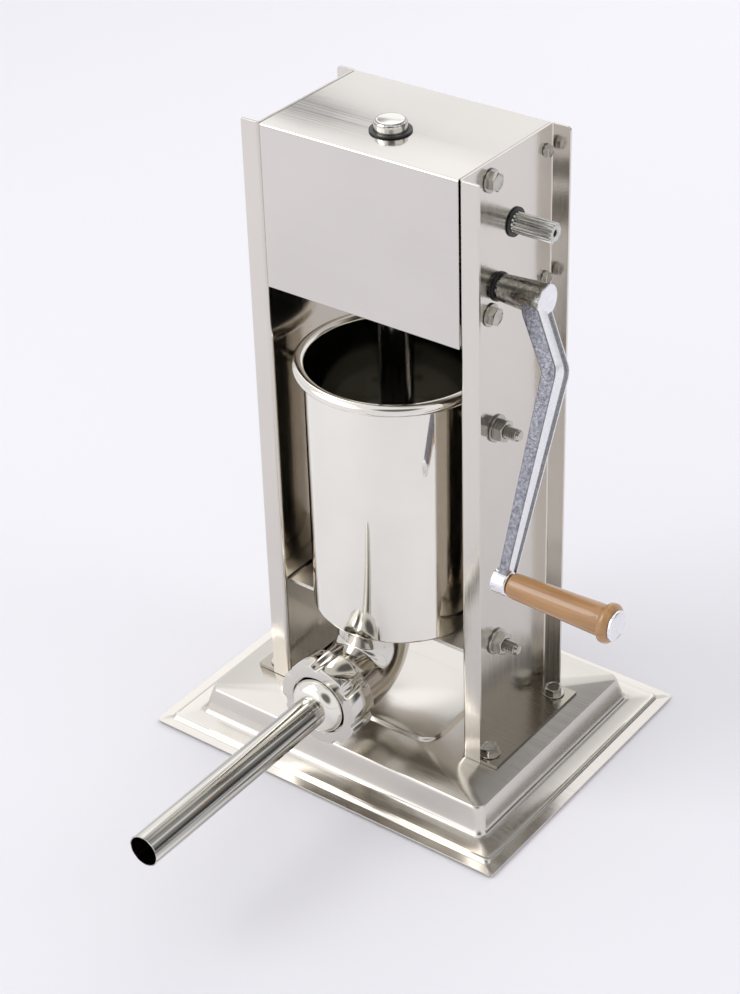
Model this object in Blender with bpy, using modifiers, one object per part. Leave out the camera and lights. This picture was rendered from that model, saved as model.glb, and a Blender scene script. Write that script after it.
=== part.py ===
# Hand-cranked vertical sausage stuffer of about three litres, in metres, +Z up.
#
# Machine coordinates: X = 0 is the mid-plane, Y = 0 is the front of the side panels and
# Z = 0 is the floor. The nozzle points along -Y and the crank is on the +X side. The empty
# machine_frame moves them so that the world origin is the bottom centre of the whole object.
# Each moving body hangs on an empty that stands on its joint's axis.

import math

import bmesh
import bpy
from mathutils import Vector

# General
SEAT_GAP = 0.0003
CUT_OVERRUN = 0.002
MERGE_DISTANCE = 0.00001
LARGE_SIDES = 40
ROUND_SIDES = 24
BUSH_SIDES = 16
SMALL_SIDES = 12
PIPE_RESOLUTION = 9
BEND_STEPS = 3

# Base pan
BASE_WIDTH = 0.340
BASE_DEPTH = 0.274
BASE_OVERHANG = 0.080
BASE_HEIGHT = 0.030
BASE_LIFT = 0.003
BASE_SHEET = 0.0015
BASE_BORDER = 0.034
BASE_CORNER = 0.006
# Shares of the border's width and of the pan's height, from the brim's edge to the plateau
BORDER_SHARES = (
    (0.0, 0.0), (0.26, 0.01), (0.31, 0.10), (0.54, 0.13), (0.78, 0.17), (0.87, 0.29),
    (0.95, 0.84), (1.0, 1.0),
)
TRAY_HALF_WIDTH = 0.062
TRAY_FRONT_Y = -0.006
TRAY_DEPTH = 0.096
TRAY_RISE = 0.003
TRAY_SLOPE = 0.003
TRAY_CORNER = 0.016

# Rubber pads under the pan
PAD_RADIUS = 0.012
PAD_MARGIN = 0.0008
PAD_INSET_Y = 0.050

# Side panels
PANEL_SPAN = 0.1804
PANEL_DEPTH = 0.1184
PANEL_TOP = 0.537
PANEL_SHEET = 0.002
PANEL_BEND = 0.0025
FLANGE_WIDTH = 0.015
FLANGE_CORNER = 0.003
FOOT_PLATE_WIDTH = 0.033
FOOT_PLATE_SHEET = 0.003
FOOT_BOLT_OUT = 0.016
FOOT_BOLT_INSET = 0.012

# Head cover, floor and bearing plate
HEAD_HEIGHT = 0.134
COVER_SHEET = 0.0015
COVER_BEND = 0.003
COVER_TAB_DROP = 0.027
COVER_TAB_FRONT_Y = 0.024
FLOOR_SHEET = 0.002
FLOOR_LIP = 0.019
BEARING_SET_IN = 0.0392
BEARING_SHEET = 0.003
BEARING_DEPTH = 0.090
BEARING_INSET_Y = 0.0044
BEARING_INSET_Z = 0.006
STANDOFF_RADIUS = 0.0055

# Fasteners of the head
FRONT_BOLT_Y = 0.0365
REAR_BOLT_INSET = 0.0104
UPPER_BOLT_DROP = 0.014
REAR_SCREW_DROP = 0.018
LOWER_BOLT_RISE = 0.013
BOLT_SHANK = 0.003
BOLT_HEAD = 0.0075
BOLT_HEAD_HEIGHT = 0.0055
BOLT_WASHER = 0.009
BOLT_WASHER_HEIGHT = 0.0012
HEAD_BOLT_LENGTH = 0.014
FOOT_BOLT_LENGTH = 0.018
SCREW_HEAD = 0.005
SCREW_HEAD_HEIGHT = 0.003

# Rack rod
AXIS_INSET = 0.0764
ROD_RADIUS = 0.0125
ROD_RISE = 0.009
ROD_CHAMFER = 0.0015
ROD_STUB_RADIUS = 0.006
ROD_BUSH_WALL = 0.002
ROD_BUSH_FLANGE = 0.0012
ROD_BUSH_RISE = 0.0012
ROD_BUSH_LENGTH = 0.006

# Gear teeth
MODULE = 0.002
PRESSURE_ANGLE = math.radians(25)
ADDENDUM = 0.0016
DEDENDUM = 0.0022
TOOTH_THINNING = 0.0002
RACK_DEPTH = 0.010
RACK_PLAIN_FOOT = 0.070
RACK_TEETH_ABOVE = 2
RACK_PINION_TEETH = 16
LARGE_GEAR_TEETH = 36
SLOW_PINION_TEETH = 12
FLANK_STEPS = 2

# Shafts
FAST_SHAFT_DROP = 0.059
GEAR_LINE_ANGLE = math.radians(65.3)
SHAFT_RADIUS = 0.008
SHAFT_STUB = 0.005
SHAFT_END_GAP = 0.003
SPLINE_TEETH = 9
SPLINE_DEPTH = 0.0016
SPLINE_CENTRE_RADIUS = 0.0025
SPLINE_CENTRE_DEPTH = 0.006
RACK_PINION_WIDTH = 0.018
GEAR_SET_OUT = 0.017
GEAR_WIDTH = 0.010
GEAR_HUB_RADIUS = 0.013
GEAR_HUB_LENGTH = 0.005
SLOW_PINION_EXTRA = 0.002
BUSH_WALL = 0.0022
BUSH_FLANGE = 0.0008
BUSH_FLANGE_WIDTH = 0.0012

# Crank
HUB_CLEARANCE = 0.0025
HUB_LENGTH = 0.0378
HUB_ROOT_RADIUS = 0.0105
HUB_END_RADIUS = 0.0130
HUB_END_WALL = 0.004
CRANK_RADIUS = 0.205
CRANK_TURN = math.radians(-25)
ARM_SET_BACK = 0.0008
ARM_OFFSET = 0.027
ARM_NECK = 0.008
ARM_KNEE = 0.046
ARM_BEND = 0.012
ARM_TOP_THICKNESS = 0.014
ARM_KNEE_THICKNESS = 0.012
ARM_END_THICKNESS = 0.008
ARM_TOP_WIDTH = 0.022
ARM_END_WIDTH = 0.014
BOSS_RADIUS = 0.0095
BOSS_LENGTH = 0.013

# Grip
GRIP_LENGTH = 0.0878
GRIP_ROOT_RADIUS = 0.0085
GRIP_END_RADIUS = 0.0124
GRIP_RING_RADIUS = 0.0152
GRIP_RING_WIDTH = 0.008
AXLE_RADIUS = 0.0038
AXLE_GAP = 0.0005
AXLE_HEAD_RADIUS = 0.0115
AXLE_HEAD_HEIGHT = 0.003

# Cylinder
BORE_RADIUS = 0.0702
CAN_WALL = 0.0012
CAN_FLOOR = 0.0015
CAN_BOTTOM = 0.131
FILLING_GAP = 0.0515
BEAD_RADIUS = 0.0048
BEAD_STEPS = 7

# Cradle under the cylinder, and the pins and studs in the panels
CRADLE_SHEET = 0.003
CRADLE_REACH_FRONT = 0.036
CRADLE_REACH_BACK = 0.056
CRADLE_GAP_X = 0.002
CRADLE_NOTCH_GAP = 0.0045
CRADLE_EAR_DROP = 0.022
CRADLE_EAR_HALF = 0.014
PIN_SET_BACK = 0.0025
PIN_DROP = 0.013
STUD_DROP = 0.0355
PIN_RADIUS = 0.005
PIN_REACH_IN = 0.0142
PIN_REACH_OUT = 0.0218
STUD_CLEARANCE = 0.0009
NUT_RADIUS = 0.0095
NUT_HEIGHT = 0.008
NUT_WASHER_RADIUS = 0.011
NUT_WASHER_HEIGHT = 0.0016

# Piston
PISTON_RADIUS = 0.0688
PISTON_HEIGHT = 0.016
PISTON_CLEARANCE = 0.001
PISTON_HUB_RADIUS = 0.018
PISTON_HUB_HEIGHT = 0.008
GROOVE_DEPTH = 0.005
GROOVE_HEIGHT = 0.007
GASKET_RADIUS = 0.0698
PISTON_NUT_RADIUS = 0.010
PISTON_NUT_HEIGHT = 0.006
VALVE_X = 0.042
VALVE_STEM = 0.003
VALVE_HEAD = 0.008
VALVE_HEAD_HEIGHT = 0.003
VALVE_FOOT = 0.0055
VALVE_FOOT_HEIGHT = 0.0025
VALVE_RECESS_RADIUS = 0.007
VALVE_RECESS_HEIGHT = 0.0085
VALVE_LIFT = 0.003

# Outlet elbow, nozzle and ring nut
OUTLET_SET_FORWARD = 0.038
OUTLET_DROP = 0.043
OUTLET_RADIUS = 0.0295
OUTLET_WALL = 0.002
OUTLET_BEND = 0.0305
OUTLET_BEND_STEPS = 7
OUTLET_LENGTH = 0.0651
COLLAR_RADIUS = 0.0305
COLLAR_LENGTH = 0.019
NOZZLE_GASKET_HEIGHT = 0.002
NOZZLE_LENGTH = 0.2163
NOZZLE_RADIUS = 0.013
NOZZLE_WALL = 0.0009
NOZZLE_DOME_RADIUS = 0.0243
NOZZLE_DOME_HEIGHT = 0.015
NOZZLE_RIM_RADIUS = 0.0300
NOZZLE_RIM_HEIGHT = 0.003
DOME_STEPS = 4
RING_NUT_RADIUS = 0.0363
RING_NUT_LENGTH = 0.026
RING_NUT_FRONT = 0.005
RING_NUT_HOLE = 0.0250
RING_NUT_CHAMFER = 0.0012
FLUTES = 7
FLUTE_TURN = math.radians(-11.4)
FLUTE_RADIUS = 0.006
FLUTE_DEPTH = 0.003

# Sizes that follow
PANEL_OUT = PANEL_SPAN / 2
PANEL_IN = PANEL_OUT - PANEL_SHEET
HEAD_HALF = PANEL_IN - SEAT_GAP
BEARING_X = PANEL_IN - BEARING_SET_IN
GEAR_X = BEARING_X + GEAR_SET_OUT
HUB_START_X = PANEL_OUT + SEAT_GAP + BUSH_FLANGE_WIDTH + HUB_CLEARANCE
HUB_END_X = HUB_START_X + HUB_LENGTH
BASE_FRONT_Y = -BASE_OVERHANG
BASE_BACK_Y = BASE_FRONT_Y + BASE_DEPTH
BASE_MIDDLE_Y = (BASE_FRONT_Y + BASE_BACK_Y) / 2
PANEL_BOTTOM = BASE_HEIGHT + SEAT_GAP
COVER_BOTTOM = PANEL_TOP - HEAD_HEIGHT
AXIS_Y = PANEL_DEPTH - AXIS_INSET
RACK_PITCH_Y = AXIS_Y + RACK_DEPTH
RACK_PITCH = math.pi * MODULE
RACK_PINION_RADIUS = MODULE * RACK_PINION_TEETH / 2
LARGE_GEAR_RADIUS = MODULE * LARGE_GEAR_TEETH / 2
SLOW_PINION_RADIUS = MODULE * SLOW_PINION_TEETH / 2
GEAR_CENTRES = LARGE_GEAR_RADIUS + SLOW_PINION_RADIUS
FAST_SHAFT_Y = RACK_PITCH_Y + RACK_PINION_RADIUS
FAST_SHAFT_Z = PANEL_TOP - FAST_SHAFT_DROP
SLOW_SHAFT_Y = FAST_SHAFT_Y - GEAR_CENTRES * math.cos(GEAR_LINE_ANGLE)
SLOW_SHAFT_Z = FAST_SHAFT_Z - GEAR_CENTRES * math.sin(GEAR_LINE_ANGLE)
JOURNAL_END_X = HUB_START_X - SEAT_GAP
SHAFT_END_X = HUB_END_X - HUB_END_WALL - SHAFT_END_GAP
BUSH_BORE = SHAFT_RADIUS + SEAT_GAP
BUSH_RADIUS = BUSH_BORE + BUSH_WALL
GRIP_Y = SLOW_SHAFT_Y
GRIP_Z = SLOW_SHAFT_Z - CRANK_RADIUS
BOSS_END_X = HUB_END_X + ARM_OFFSET
BOSS_START_X = BOSS_END_X - BOSS_LENGTH
GRIP_START_X = BOSS_END_X + SEAT_GAP
GRIP_END_X = GRIP_START_X + GRIP_LENGTH
AXLE_END_X = GRIP_END_X + SEAT_GAP + AXLE_HEAD_HEIGHT
CAN_RADIUS = BORE_RADIUS + CAN_WALL
CAN_TOP = COVER_BOTTOM - FILLING_GAP
PISTON_BOTTOM = CAN_BOTTOM + CAN_FLOOR + PISTON_CLEARANCE
PISTON_TOP = PISTON_BOTTOM + PISTON_HEIGHT
ROD_BOTTOM = PISTON_TOP + PISTON_HUB_HEIGHT + SEAT_GAP
ROD_TOP = PANEL_TOP + ROD_RISE
RACK_TEETH_BELOW = int(
    (FAST_SHAFT_Z - ROD_BOTTOM - RACK_PLAIN_FOOT) / RACK_PITCH - 1 / 2
)
GROOVE_BOTTOM = PISTON_BOTTOM + (PISTON_HEIGHT - GROOVE_HEIGHT) / 2
PIN_Y = AXIS_Y + PIN_SET_BACK
PIN_Z = CAN_BOTTOM - PIN_DROP
STUD_Z = CAN_TOP - STUD_DROP
OUTLET_Y = AXIS_Y - OUTLET_SET_FORWARD
OUTLET_Z = CAN_BOTTOM - OUTLET_DROP
OUTLET_TOP = CAN_BOTTOM - SEAT_GAP
OUTLET_END_Y = OUTLET_Y - OUTLET_LENGTH
NOZZLE_BACK_Y = OUTLET_END_Y - NOZZLE_GASKET_HEIGHT - 2 * SEAT_GAP
NOZZLE_TIP_Y = NOZZLE_BACK_Y - NOZZLE_LENGTH
NUT_FRONT_Y = NOZZLE_BACK_Y - NOZZLE_RIM_HEIGHT - SEAT_GAP - RING_NUT_FRONT
HEAD_BOLT_PLACES = {
    "upper_front": (FRONT_BOLT_Y, PANEL_TOP - UPPER_BOLT_DROP),
    "lower_front": (FRONT_BOLT_Y, COVER_BOTTOM + LOWER_BOLT_RISE),
    "upper_rear": (PANEL_DEPTH - REAR_BOLT_INSET, PANEL_TOP - REAR_SCREW_DROP),
    "lower_rear": (PANEL_DEPTH - REAR_BOLT_INSET, COVER_BOTTOM + LOWER_BOLT_RISE),
}

# Bodies: the place of each one's empty, on its joint's axis. The crank and its grip are
# placed as they hang straight down, and the crank's empty then turns them to their rest.
BODY_PLACES = {
    "machine_frame": (0, 0, 0),
    "rack_carriage": (0, AXIS_Y, 0),
    "valve_body": (VALVE_X, AXIS_Y, 0),
    "fast_shaft_axis": (0, FAST_SHAFT_Y, FAST_SHAFT_Z),
    "slow_shaft_axis": (0, SLOW_SHAFT_Y, SLOW_SHAFT_Z),
    "crank_axis": (0, SLOW_SHAFT_Y, SLOW_SHAFT_Z),
    "grip_axis": (0, GRIP_Y, GRIP_Z),
    "nozzle_axis": (0, 0, OUTLET_Z),
    "nut_axis": (0, 0, OUTLET_Z),
}
BODY_PARENTS = {
    "rack_carriage": "machine_frame",
    "valve_body": "rack_carriage",
    "fast_shaft_axis": "machine_frame",
    "slow_shaft_axis": "machine_frame",
    "crank_axis": "slow_shaft_axis",
    "grip_axis": "crank_axis",
    "nozzle_axis": "machine_frame",
    "nut_axis": "nozzle_axis",
}

# Rotations that lay a flat outline in a plane, or a local +Z along a direction
QUARTER = math.pi / 2
PLANES = {"XY": (0, 0, 0), "YZ": (QUARTER, 0, QUARTER), "XZ": (QUARTER, 0, 0)}
ALONG = {"+Z": (0, 0, 0), "+X": (0, QUARTER, 0), "-X": (0, -QUARTER, 0), "-Y": (QUARTER, 0, 0)}
SMOOTH_ANGLE = math.radians(32)


def clear_scene():
    for obj in list(bpy.data.objects):
        bpy.data.objects.remove(obj, do_unlink=True)


def make_collection(name):
    collection = bpy.data.collections.new(name)
    bpy.context.scene.collection.children.link(collection)
    return collection


def make_material(name, colour, metallic, roughness):
    material = bpy.data.materials.new(name)
    material.use_nodes = True
    shader = material.node_tree.nodes["Principled BSDF"]
    shader.inputs["Base Color"].default_value = (*colour, 1.0)
    shader.inputs["Metallic"].default_value = metallic
    shader.inputs["Roughness"].default_value = roughness
    return material


clear_scene()
PARTS = make_collection("sausage_stuffer")
CUTTERS = make_collection("cutters")
MATERIALS = {
    "brushed_steel": make_material("brushed_steel", (0.62, 0.60, 0.57), 1.0, 0.32),
    "polished_steel": make_material("polished_steel", (0.72, 0.71, 0.69), 1.0, 0.10),
    "steel": make_material("steel", (0.55, 0.55, 0.54), 1.0, 0.35),
    "cast_alloy": make_material("cast_alloy", (0.50, 0.50, 0.53), 1.0, 0.40),
    "black_plastic": make_material("black_plastic", (0.02, 0.02, 0.02), 0.0, 0.45),
    "white_plastic": make_material("white_plastic", (0.80, 0.80, 0.78), 0.0, 0.40),
    "rubber": make_material("rubber", (0.03, 0.03, 0.03), 0.0, 0.75),
    "wood": make_material("wood", (0.45, 0.24, 0.08), 0.0, 0.35),
}
BODIES = {}


def make_bodies():
    for name, place in BODY_PLACES.items():
        empty = bpy.data.objects.new(name, None)
        PARTS.objects.link(empty)
        BODIES[name] = empty
        if name in BODY_PARENTS:
            parent = BODY_PARENTS[name]
            empty.parent = BODIES[parent]
            empty.location = Vector(place) - Vector(BODY_PLACES[parent])
    span_x = AXLE_END_X - BASE_WIDTH / 2
    span_y = NOZZLE_TIP_Y + BASE_BACK_Y
    BODIES["machine_frame"].location = (-span_x / 2, -span_y / 2, 0)
    BODIES["crank_axis"].rotation_euler = (CRANK_TURN, 0, 0)


def place_object(name, mesh, place, rotation, body="machine_frame", material=None):
    """Add a mesh as an object; one with no material is a tool for cutting or joining."""
    obj = bpy.data.objects.new(name, mesh)
    obj.parent = BODIES[body]
    obj.location = Vector(place) - Vector(BODY_PLACES[body])
    obj.rotation_euler = rotation
    if material is None:
        CUTTERS.objects.link(obj)
        obj.hide_render = True
        obj.display_type = "WIRE"
    else:
        PARTS.objects.link(obj)
        mesh.materials.append(MATERIALS[material])
        mesh.shade_smooth()
        mesh.set_sharp_from_angle(angle=SMOOTH_ANGLE)
    return obj


def mesh_from(bm, name):
    mesh = bpy.data.meshes.new(name)
    bm.to_mesh(mesh)
    bm.free()
    return mesh


def box(name, low, high, **options):
    """A box between two opposite corners."""
    low = Vector(low)
    high = Vector(high)
    bm = bmesh.new()
    bmesh.ops.create_cube(bm, size=1)
    bmesh.ops.scale(bm, vec=high - low, verts=bm.verts)
    return place_object(name, mesh_from(bm, name), (low + high) / 2, PLANES["XY"], **options)


def cone(name, start, along, length, radius, end_radius=None, sides=ROUND_SIDES, **options):
    """A round or many-sided bar from a start point along a direction."""
    bm = bmesh.new()
    end_radius = radius if end_radius is None else end_radius
    bmesh.ops.create_cone(
        bm, cap_ends=True, segments=sides, radius1=radius, radius2=end_radius, depth=length
    )
    bmesh.ops.translate(bm, vec=(0, 0, length / 2), verts=bm.verts)
    return place_object(name, mesh_from(bm, name), start, ALONG[along], **options)


def turned(name, profile, start, along, sides=ROUND_SIDES, closed=False, **options):
    """Turn a profile of (radius, height) about a direction; it runs down its outer side."""
    bm = bmesh.new()
    points = [bm.verts.new((radius, 0, height)) for radius, height in profile]
    pairs = list(zip(points, points[1:]))
    if closed:
        pairs.append((points[-1], points[0]))
    for pair in pairs:
        bm.edges.new(pair)
    obj = place_object(name, mesh_from(bm, name), start, ALONG[along], **options)
    screw = obj.modifiers.new("turn", "SCREW")
    screw.axis = "Z"
    screw.steps = sides
    screw.render_steps = sides
    screw.use_merge_vertices = True
    screw.merge_threshold = MERGE_DISTANCE
    return obj


def baked_mesh(obj):
    """The mesh of an object as its modifiers leave it; the object is removed."""
    bpy.context.view_layer.update()
    graph = bpy.context.evaluated_depsgraph_get()
    mesh = bpy.data.meshes.new_from_object(obj.evaluated_get(graph))
    bpy.data.objects.remove(obj, do_unlink=True)
    return mesh


def welded(mesh):
    bm = bmesh.new()
    bm.from_mesh(mesh)
    bmesh.ops.remove_doubles(bm, verts=bm.verts, dist=MERGE_DISTANCE)
    bmesh.ops.recalc_face_normals(bm, faces=bm.faces)
    bm.to_mesh(mesh)
    bm.free()
    return mesh


def flat(name, outline, plane, low, high, **options):
    """A flat outline in a plane, between two places on the axis square to it."""
    curve = bpy.data.curves.new(name, "CURVE")
    curve.dimensions = "2D"
    curve.fill_mode = "BOTH"
    curve.extrude = (high - low) / 2
    spline = curve.splines.new("POLY")
    spline.points.add(len(outline) - 1)
    for point, (u, v) in zip(spline.points, outline):
        point.co = (u, v, 0, 1)
    spline.use_cyclic_u = True
    curve_object = bpy.data.objects.new(name, curve)
    CUTTERS.objects.link(curve_object)
    mesh = welded(baked_mesh(curve_object))
    mesh.name = name
    middle = (low + high) / 2
    places = {"XY": (0, 0, middle), "YZ": (middle, 0, 0), "XZ": (0, middle, 0)}
    return place_object(name, mesh, places[plane], PLANES[plane], **options)


def pipe(name, points, radius, **options):
    """A round bar along points in the machine's mid-plane."""
    curve = bpy.data.curves.new(name, "CURVE")
    curve.dimensions = "3D"
    curve.bevel_depth = radius
    curve.bevel_resolution = PIPE_RESOLUTION
    curve.use_fill_caps = True
    spline = curve.splines.new("POLY")
    spline.points.add(len(points) - 1)
    for point, (y, z) in zip(spline.points, points):
        point.co = (0, y, z, 1)
    curve_object = bpy.data.objects.new(name, curve)
    CUTTERS.objects.link(curve_object)
    mesh = welded(baked_mesh(curve_object))
    mesh.name = name
    return place_object(name, mesh, (0, 0, 0), PLANES["XY"], **options)


def combine(obj, tools, operation):
    """Join tools to an object, cut them from it, or keep what lies in them."""
    for tool in tools:
        boolean = obj.modifiers.new(tool.name, "BOOLEAN")
        boolean.operation = operation
        boolean.solver = "EXACT"
        boolean.object = tool
    return obj


def arc(centre, radius, start, end, steps):
    """Points of an arc between two angles, both ends included."""
    points = []
    for step in range(steps + 1):
        angle = start + (end - start) * step / steps
        points.append((centre[0] + radius * math.cos(angle), centre[1] + radius * math.sin(angle)))
    return points


def rounded_rectangle(half_x, half_y, middle_y, radius, steps=BEND_STEPS):
    points = []
    corners = ((1, 1, 0), (-1, 1, 1), (-1, -1, 2), (1, -1, 3))
    for side_x, side_y, quarter in corners:
        centre = (side_x * (half_x - radius), middle_y + side_y * (half_y - radius))
        points += arc(centre, radius, quarter * QUARTER, (quarter + 1) * QUARTER, steps)
    return points


def rounded_path(corners, radius, steps=BEND_STEPS):
    """Points along a path with arcs for corners, each with its unit normal to the left."""
    corners = [Vector(corner) for corner in corners]
    start_way = (corners[1] - corners[0]).normalized()
    path = [(corners[0], Vector((-start_way.y, start_way.x)))]
    for before, corner, after in zip(corners, corners[1:], corners[2:]):
        way_in = (corner - before).normalized()
        way_out = (after - corner).normalized()
        turn = math.atan2(way_in.cross(way_out), way_in.dot(way_out))
        side = math.copysign(1, turn)
        normal = Vector((-way_in.y, way_in.x))
        centre = corner - way_in * radius * math.tan(abs(turn) / 2) + normal * side * radius
        for step in range(steps + 1):
            angle = turn * step / steps
            cosine = math.cos(angle)
            sine = math.sin(angle)
            turned_normal = Vector(
                (normal.x * cosine - normal.y * sine, normal.x * sine + normal.y * cosine)
            )
            path.append((centre - turned_normal * side * radius, turned_normal))
    end_way = (corners[-1] - corners[-2]).normalized()
    path.append((corners[-1], Vector((-end_way.y, end_way.x))))
    return path


def strip_outline(path, half_widths):
    """The outline of a strip that follows a path, with a half width at each point."""
    left = [tuple(point + normal * half) for (point, normal), half in zip(path, half_widths)]
    right = [tuple(point - normal * half) for (point, normal), half in zip(path, half_widths)]
    return left + right[::-1]


def sheet_outline(corners, sheet, bend):
    """The section of a bent sheet whose middle follows the given corners."""
    path = rounded_path(corners, bend)
    return strip_outline(path, [sheet / 2] * len(path))


def gear_outline(teeth, centre, toward):
    """Involute teeth about a centre, with one tooth's middle at the angle toward."""
    pitch_radius = MODULE * teeth / 2
    base_radius = pitch_radius * math.cos(PRESSURE_ANGLE)
    root_radius = pitch_radius - DEDENDUM
    tip_radius = pitch_radius + ADDENDUM
    flank_start = max(base_radius, root_radius)
    involute = math.tan(PRESSURE_ANGLE) - PRESSURE_ANGLE
    half_tooth = math.pi / (2 * teeth) - TOOTH_THINNING / pitch_radius + involute
    flank = [(root_radius, half_tooth)]
    for step in range(FLANK_STEPS + 1):
        radius = flank_start + (tip_radius - flank_start) * step / FLANK_STEPS
        angle = math.acos(base_radius / radius)
        flank.append((radius, half_tooth - (math.tan(angle) - angle)))
    outline = []
    for tooth in range(teeth):
        middle = toward + 2 * math.pi * tooth / teeth
        sides = [(radius, middle - half) for radius, half in flank]
        sides += [(radius, middle + half) for radius, half in reversed(flank)]
        for radius, angle in sides:
            outline.append(
                (centre[0] + radius * math.cos(angle), centre[1] + radius * math.sin(angle))
            )
    return outline


def hex_bolt_mesh(name, head, head_height, washer, length):
    """A hex bolt with its washer; the shank runs along local -Z from the washer's seat."""
    bolt = cone(name, (0, 0, 0), "+Z", BOLT_WASHER_HEIGHT, washer, sides=SMALL_SIDES)
    top = cone(name + "_head", (0, 0, 0), "+Z", BOLT_WASHER_HEIGHT + head_height, head, sides=6)
    shank = cone(name + "_shank", (0, 0, -length), "+Z", length + BOLT_WASHER_HEIGHT, BOLT_SHANK,
                 sides=SMALL_SIDES)
    combine(bolt, [top, shank], "UNION")
    mesh = baked_mesh(bolt)
    for tool in (top, shank):
        bpy.data.objects.remove(tool, do_unlink=True)
    return mesh


def base_plate():
    """A pressed pan with a stepped border and a raised tray in the middle."""
    half_x = BASE_WIDTH / 2
    half_y = BASE_DEPTH / 2
    rings = []
    for inset_share, height_share in BORDER_SHARES:
        inset = inset_share * BASE_BORDER
        height = BASE_LIFT + height_share * (BASE_HEIGHT - BASE_LIFT)
        outline = rounded_rectangle(half_x - inset, half_y - inset, BASE_MIDDLE_Y, BASE_CORNER)
        rings.append((outline, height))
    tray_middle = TRAY_FRONT_Y + TRAY_DEPTH / 2
    for inset, rise in ((0, 0), (TRAY_SLOPE, TRAY_RISE)):
        outline = rounded_rectangle(
            TRAY_HALF_WIDTH - inset, TRAY_DEPTH / 2 - inset, tray_middle, TRAY_CORNER
        )
        rings.append((outline, BASE_HEIGHT + rise))
    bm = bmesh.new()
    loops = []
    for outline, height in rings:
        loops.append([bm.verts.new((x, y, height)) for x, y in outline])
    for lower, upper in zip(loops, loops[1:]):
        count = len(lower)
        for index in range(count):
            after = (index + 1) % count
            bm.faces.new((lower[index], lower[after], upper[after], upper[index]))
    bm.faces.new(loops[-1])
    pan = place_object("base_plate", mesh_from(bm, "base_plate"), (0, 0, 0), PLANES["XY"],
                       material="brushed_steel")
    solid = pan.modifiers.new("sheet", "SOLIDIFY")
    solid.thickness = BASE_SHEET
    solid.offset = -1
    solid.use_even_offset = True
    holes = []
    for name, x, y in foot_bolt_places():
        holes.append(cone(name + "_hole", (x, y, BASE_LIFT), "+Z", BASE_HEIGHT,
                          BOLT_SHANK + SEAT_GAP, sides=SMALL_SIDES))
    combine(pan, holes, "DIFFERENCE")


def foot_bolt_places():
    places = []
    for side, sign in (("left", -1), ("right", 1)):
        x = sign * (PANEL_OUT + FOOT_BOLT_OUT)
        places.append(("foot_bolt_" + side + "_front", x, FOOT_BOLT_INSET))
        places.append(("foot_bolt_" + side + "_rear", x, PANEL_DEPTH - FOOT_BOLT_INSET))
    return places


def rubber_pads():
    x = BASE_WIDTH / 2 - BASE_BORDER - PAD_RADIUS - PAD_MARGIN
    height = BASE_HEIGHT - BASE_SHEET - SEAT_GAP
    for side, sign in (("left", -1), ("right", 1)):
        for end, y in (("front", BASE_FRONT_Y + PAD_INSET_Y), ("rear", BASE_BACK_Y - PAD_INSET_Y)):
            cone("pad_" + side + "_" + end, (sign * x, y, 0), "+Z", height, PAD_RADIUS,
                 sides=SMALL_SIDES, material="rubber")


def panel_holes(side, sign):
    """Round holes through a panel's web, and through its foot plate."""
    places = {
        "pin": (PIN_Y, PIN_Z, PIN_RADIUS, SMALL_SIDES),
        "stud": (PIN_Y, STUD_Z, PIN_RADIUS, SMALL_SIDES),
        "fast": (FAST_SHAFT_Y, FAST_SHAFT_Z, BUSH_RADIUS, ROUND_SIDES),
    }
    if side == "right":
        places["slow"] = (SLOW_SHAFT_Y, SLOW_SHAFT_Z, BUSH_RADIUS, ROUND_SIDES)
    for name, (y, z) in HEAD_BOLT_PLACES.items():
        places[name] = (y, z, BOLT_SHANK, SMALL_SIDES)
    start = PANEL_IN - CUT_OVERRUN
    length = PANEL_SHEET + 2 * CUT_OVERRUN
    along = "+X" if sign > 0 else "-X"
    holes = []
    for name, (y, z, radius, sides) in places.items():
        holes.append(cone("hole_" + side + "_" + name, (sign * start, y, z), along, length,
                          radius + SEAT_GAP, sides=sides))
    for name, x, y in foot_bolt_places():
        if side in name:
            holes.append(cone("hole_" + name, (x, y, PANEL_BOTTOM - CUT_OVERRUN), "+Z",
                              FOOT_PLATE_SHEET + 2 * CUT_OVERRUN, BOLT_SHANK + SEAT_GAP,
                              sides=SMALL_SIDES))
    return holes


def side_panel(side, sign):
    """A channel with outward flanges, an outward foot plate and rounded top corners."""
    middle = (PANEL_OUT + PANEL_IN) / 2
    edge = PANEL_OUT + FLANGE_WIDTH
    half = PANEL_SHEET / 2
    corners = [
        (sign * edge, half), (sign * middle, half),
        (sign * middle, PANEL_DEPTH - half), (sign * edge, PANEL_DEPTH - half),
    ]
    panel = flat("side_panel_" + side, sheet_outline(corners, PANEL_SHEET, PANEL_BEND), "XY",
                 PANEL_BOTTOM, PANEL_TOP, material="brushed_steel")
    inner = sign * PANEL_IN
    outer = sign * (PANEL_IN + FOOT_PLATE_WIDTH)
    foot = box("foot_plate_" + side, (min(inner, outer), 0, PANEL_BOTTOM),
               (max(inner, outer), PANEL_DEPTH, PANEL_BOTTOM + FOOT_PLATE_SHEET))
    combine(panel, [foot], "UNION")
    corner_x = sign * (edge + CUT_OVERRUN)
    centre_x = sign * (edge - FLANGE_CORNER)
    centre_z = PANEL_TOP - FLANGE_CORNER
    start = 0 if sign > 0 else math.pi
    round_edge = arc((centre_x, centre_z), FLANGE_CORNER, start, QUARTER, BEND_STEPS)
    corner_outline = [(corner_x, centre_z)] + round_edge
    corner_outline += [(centre_x, PANEL_TOP + CUT_OVERRUN), (corner_x, PANEL_TOP + CUT_OVERRUN)]
    corner_cut = flat("corner_" + side, corner_outline, "XZ", PANEL_DEPTH / 2,
                      PANEL_DEPTH + CUT_OVERRUN)
    combine(panel, [corner_cut] + panel_holes(side, sign), "DIFFERENCE")


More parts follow.
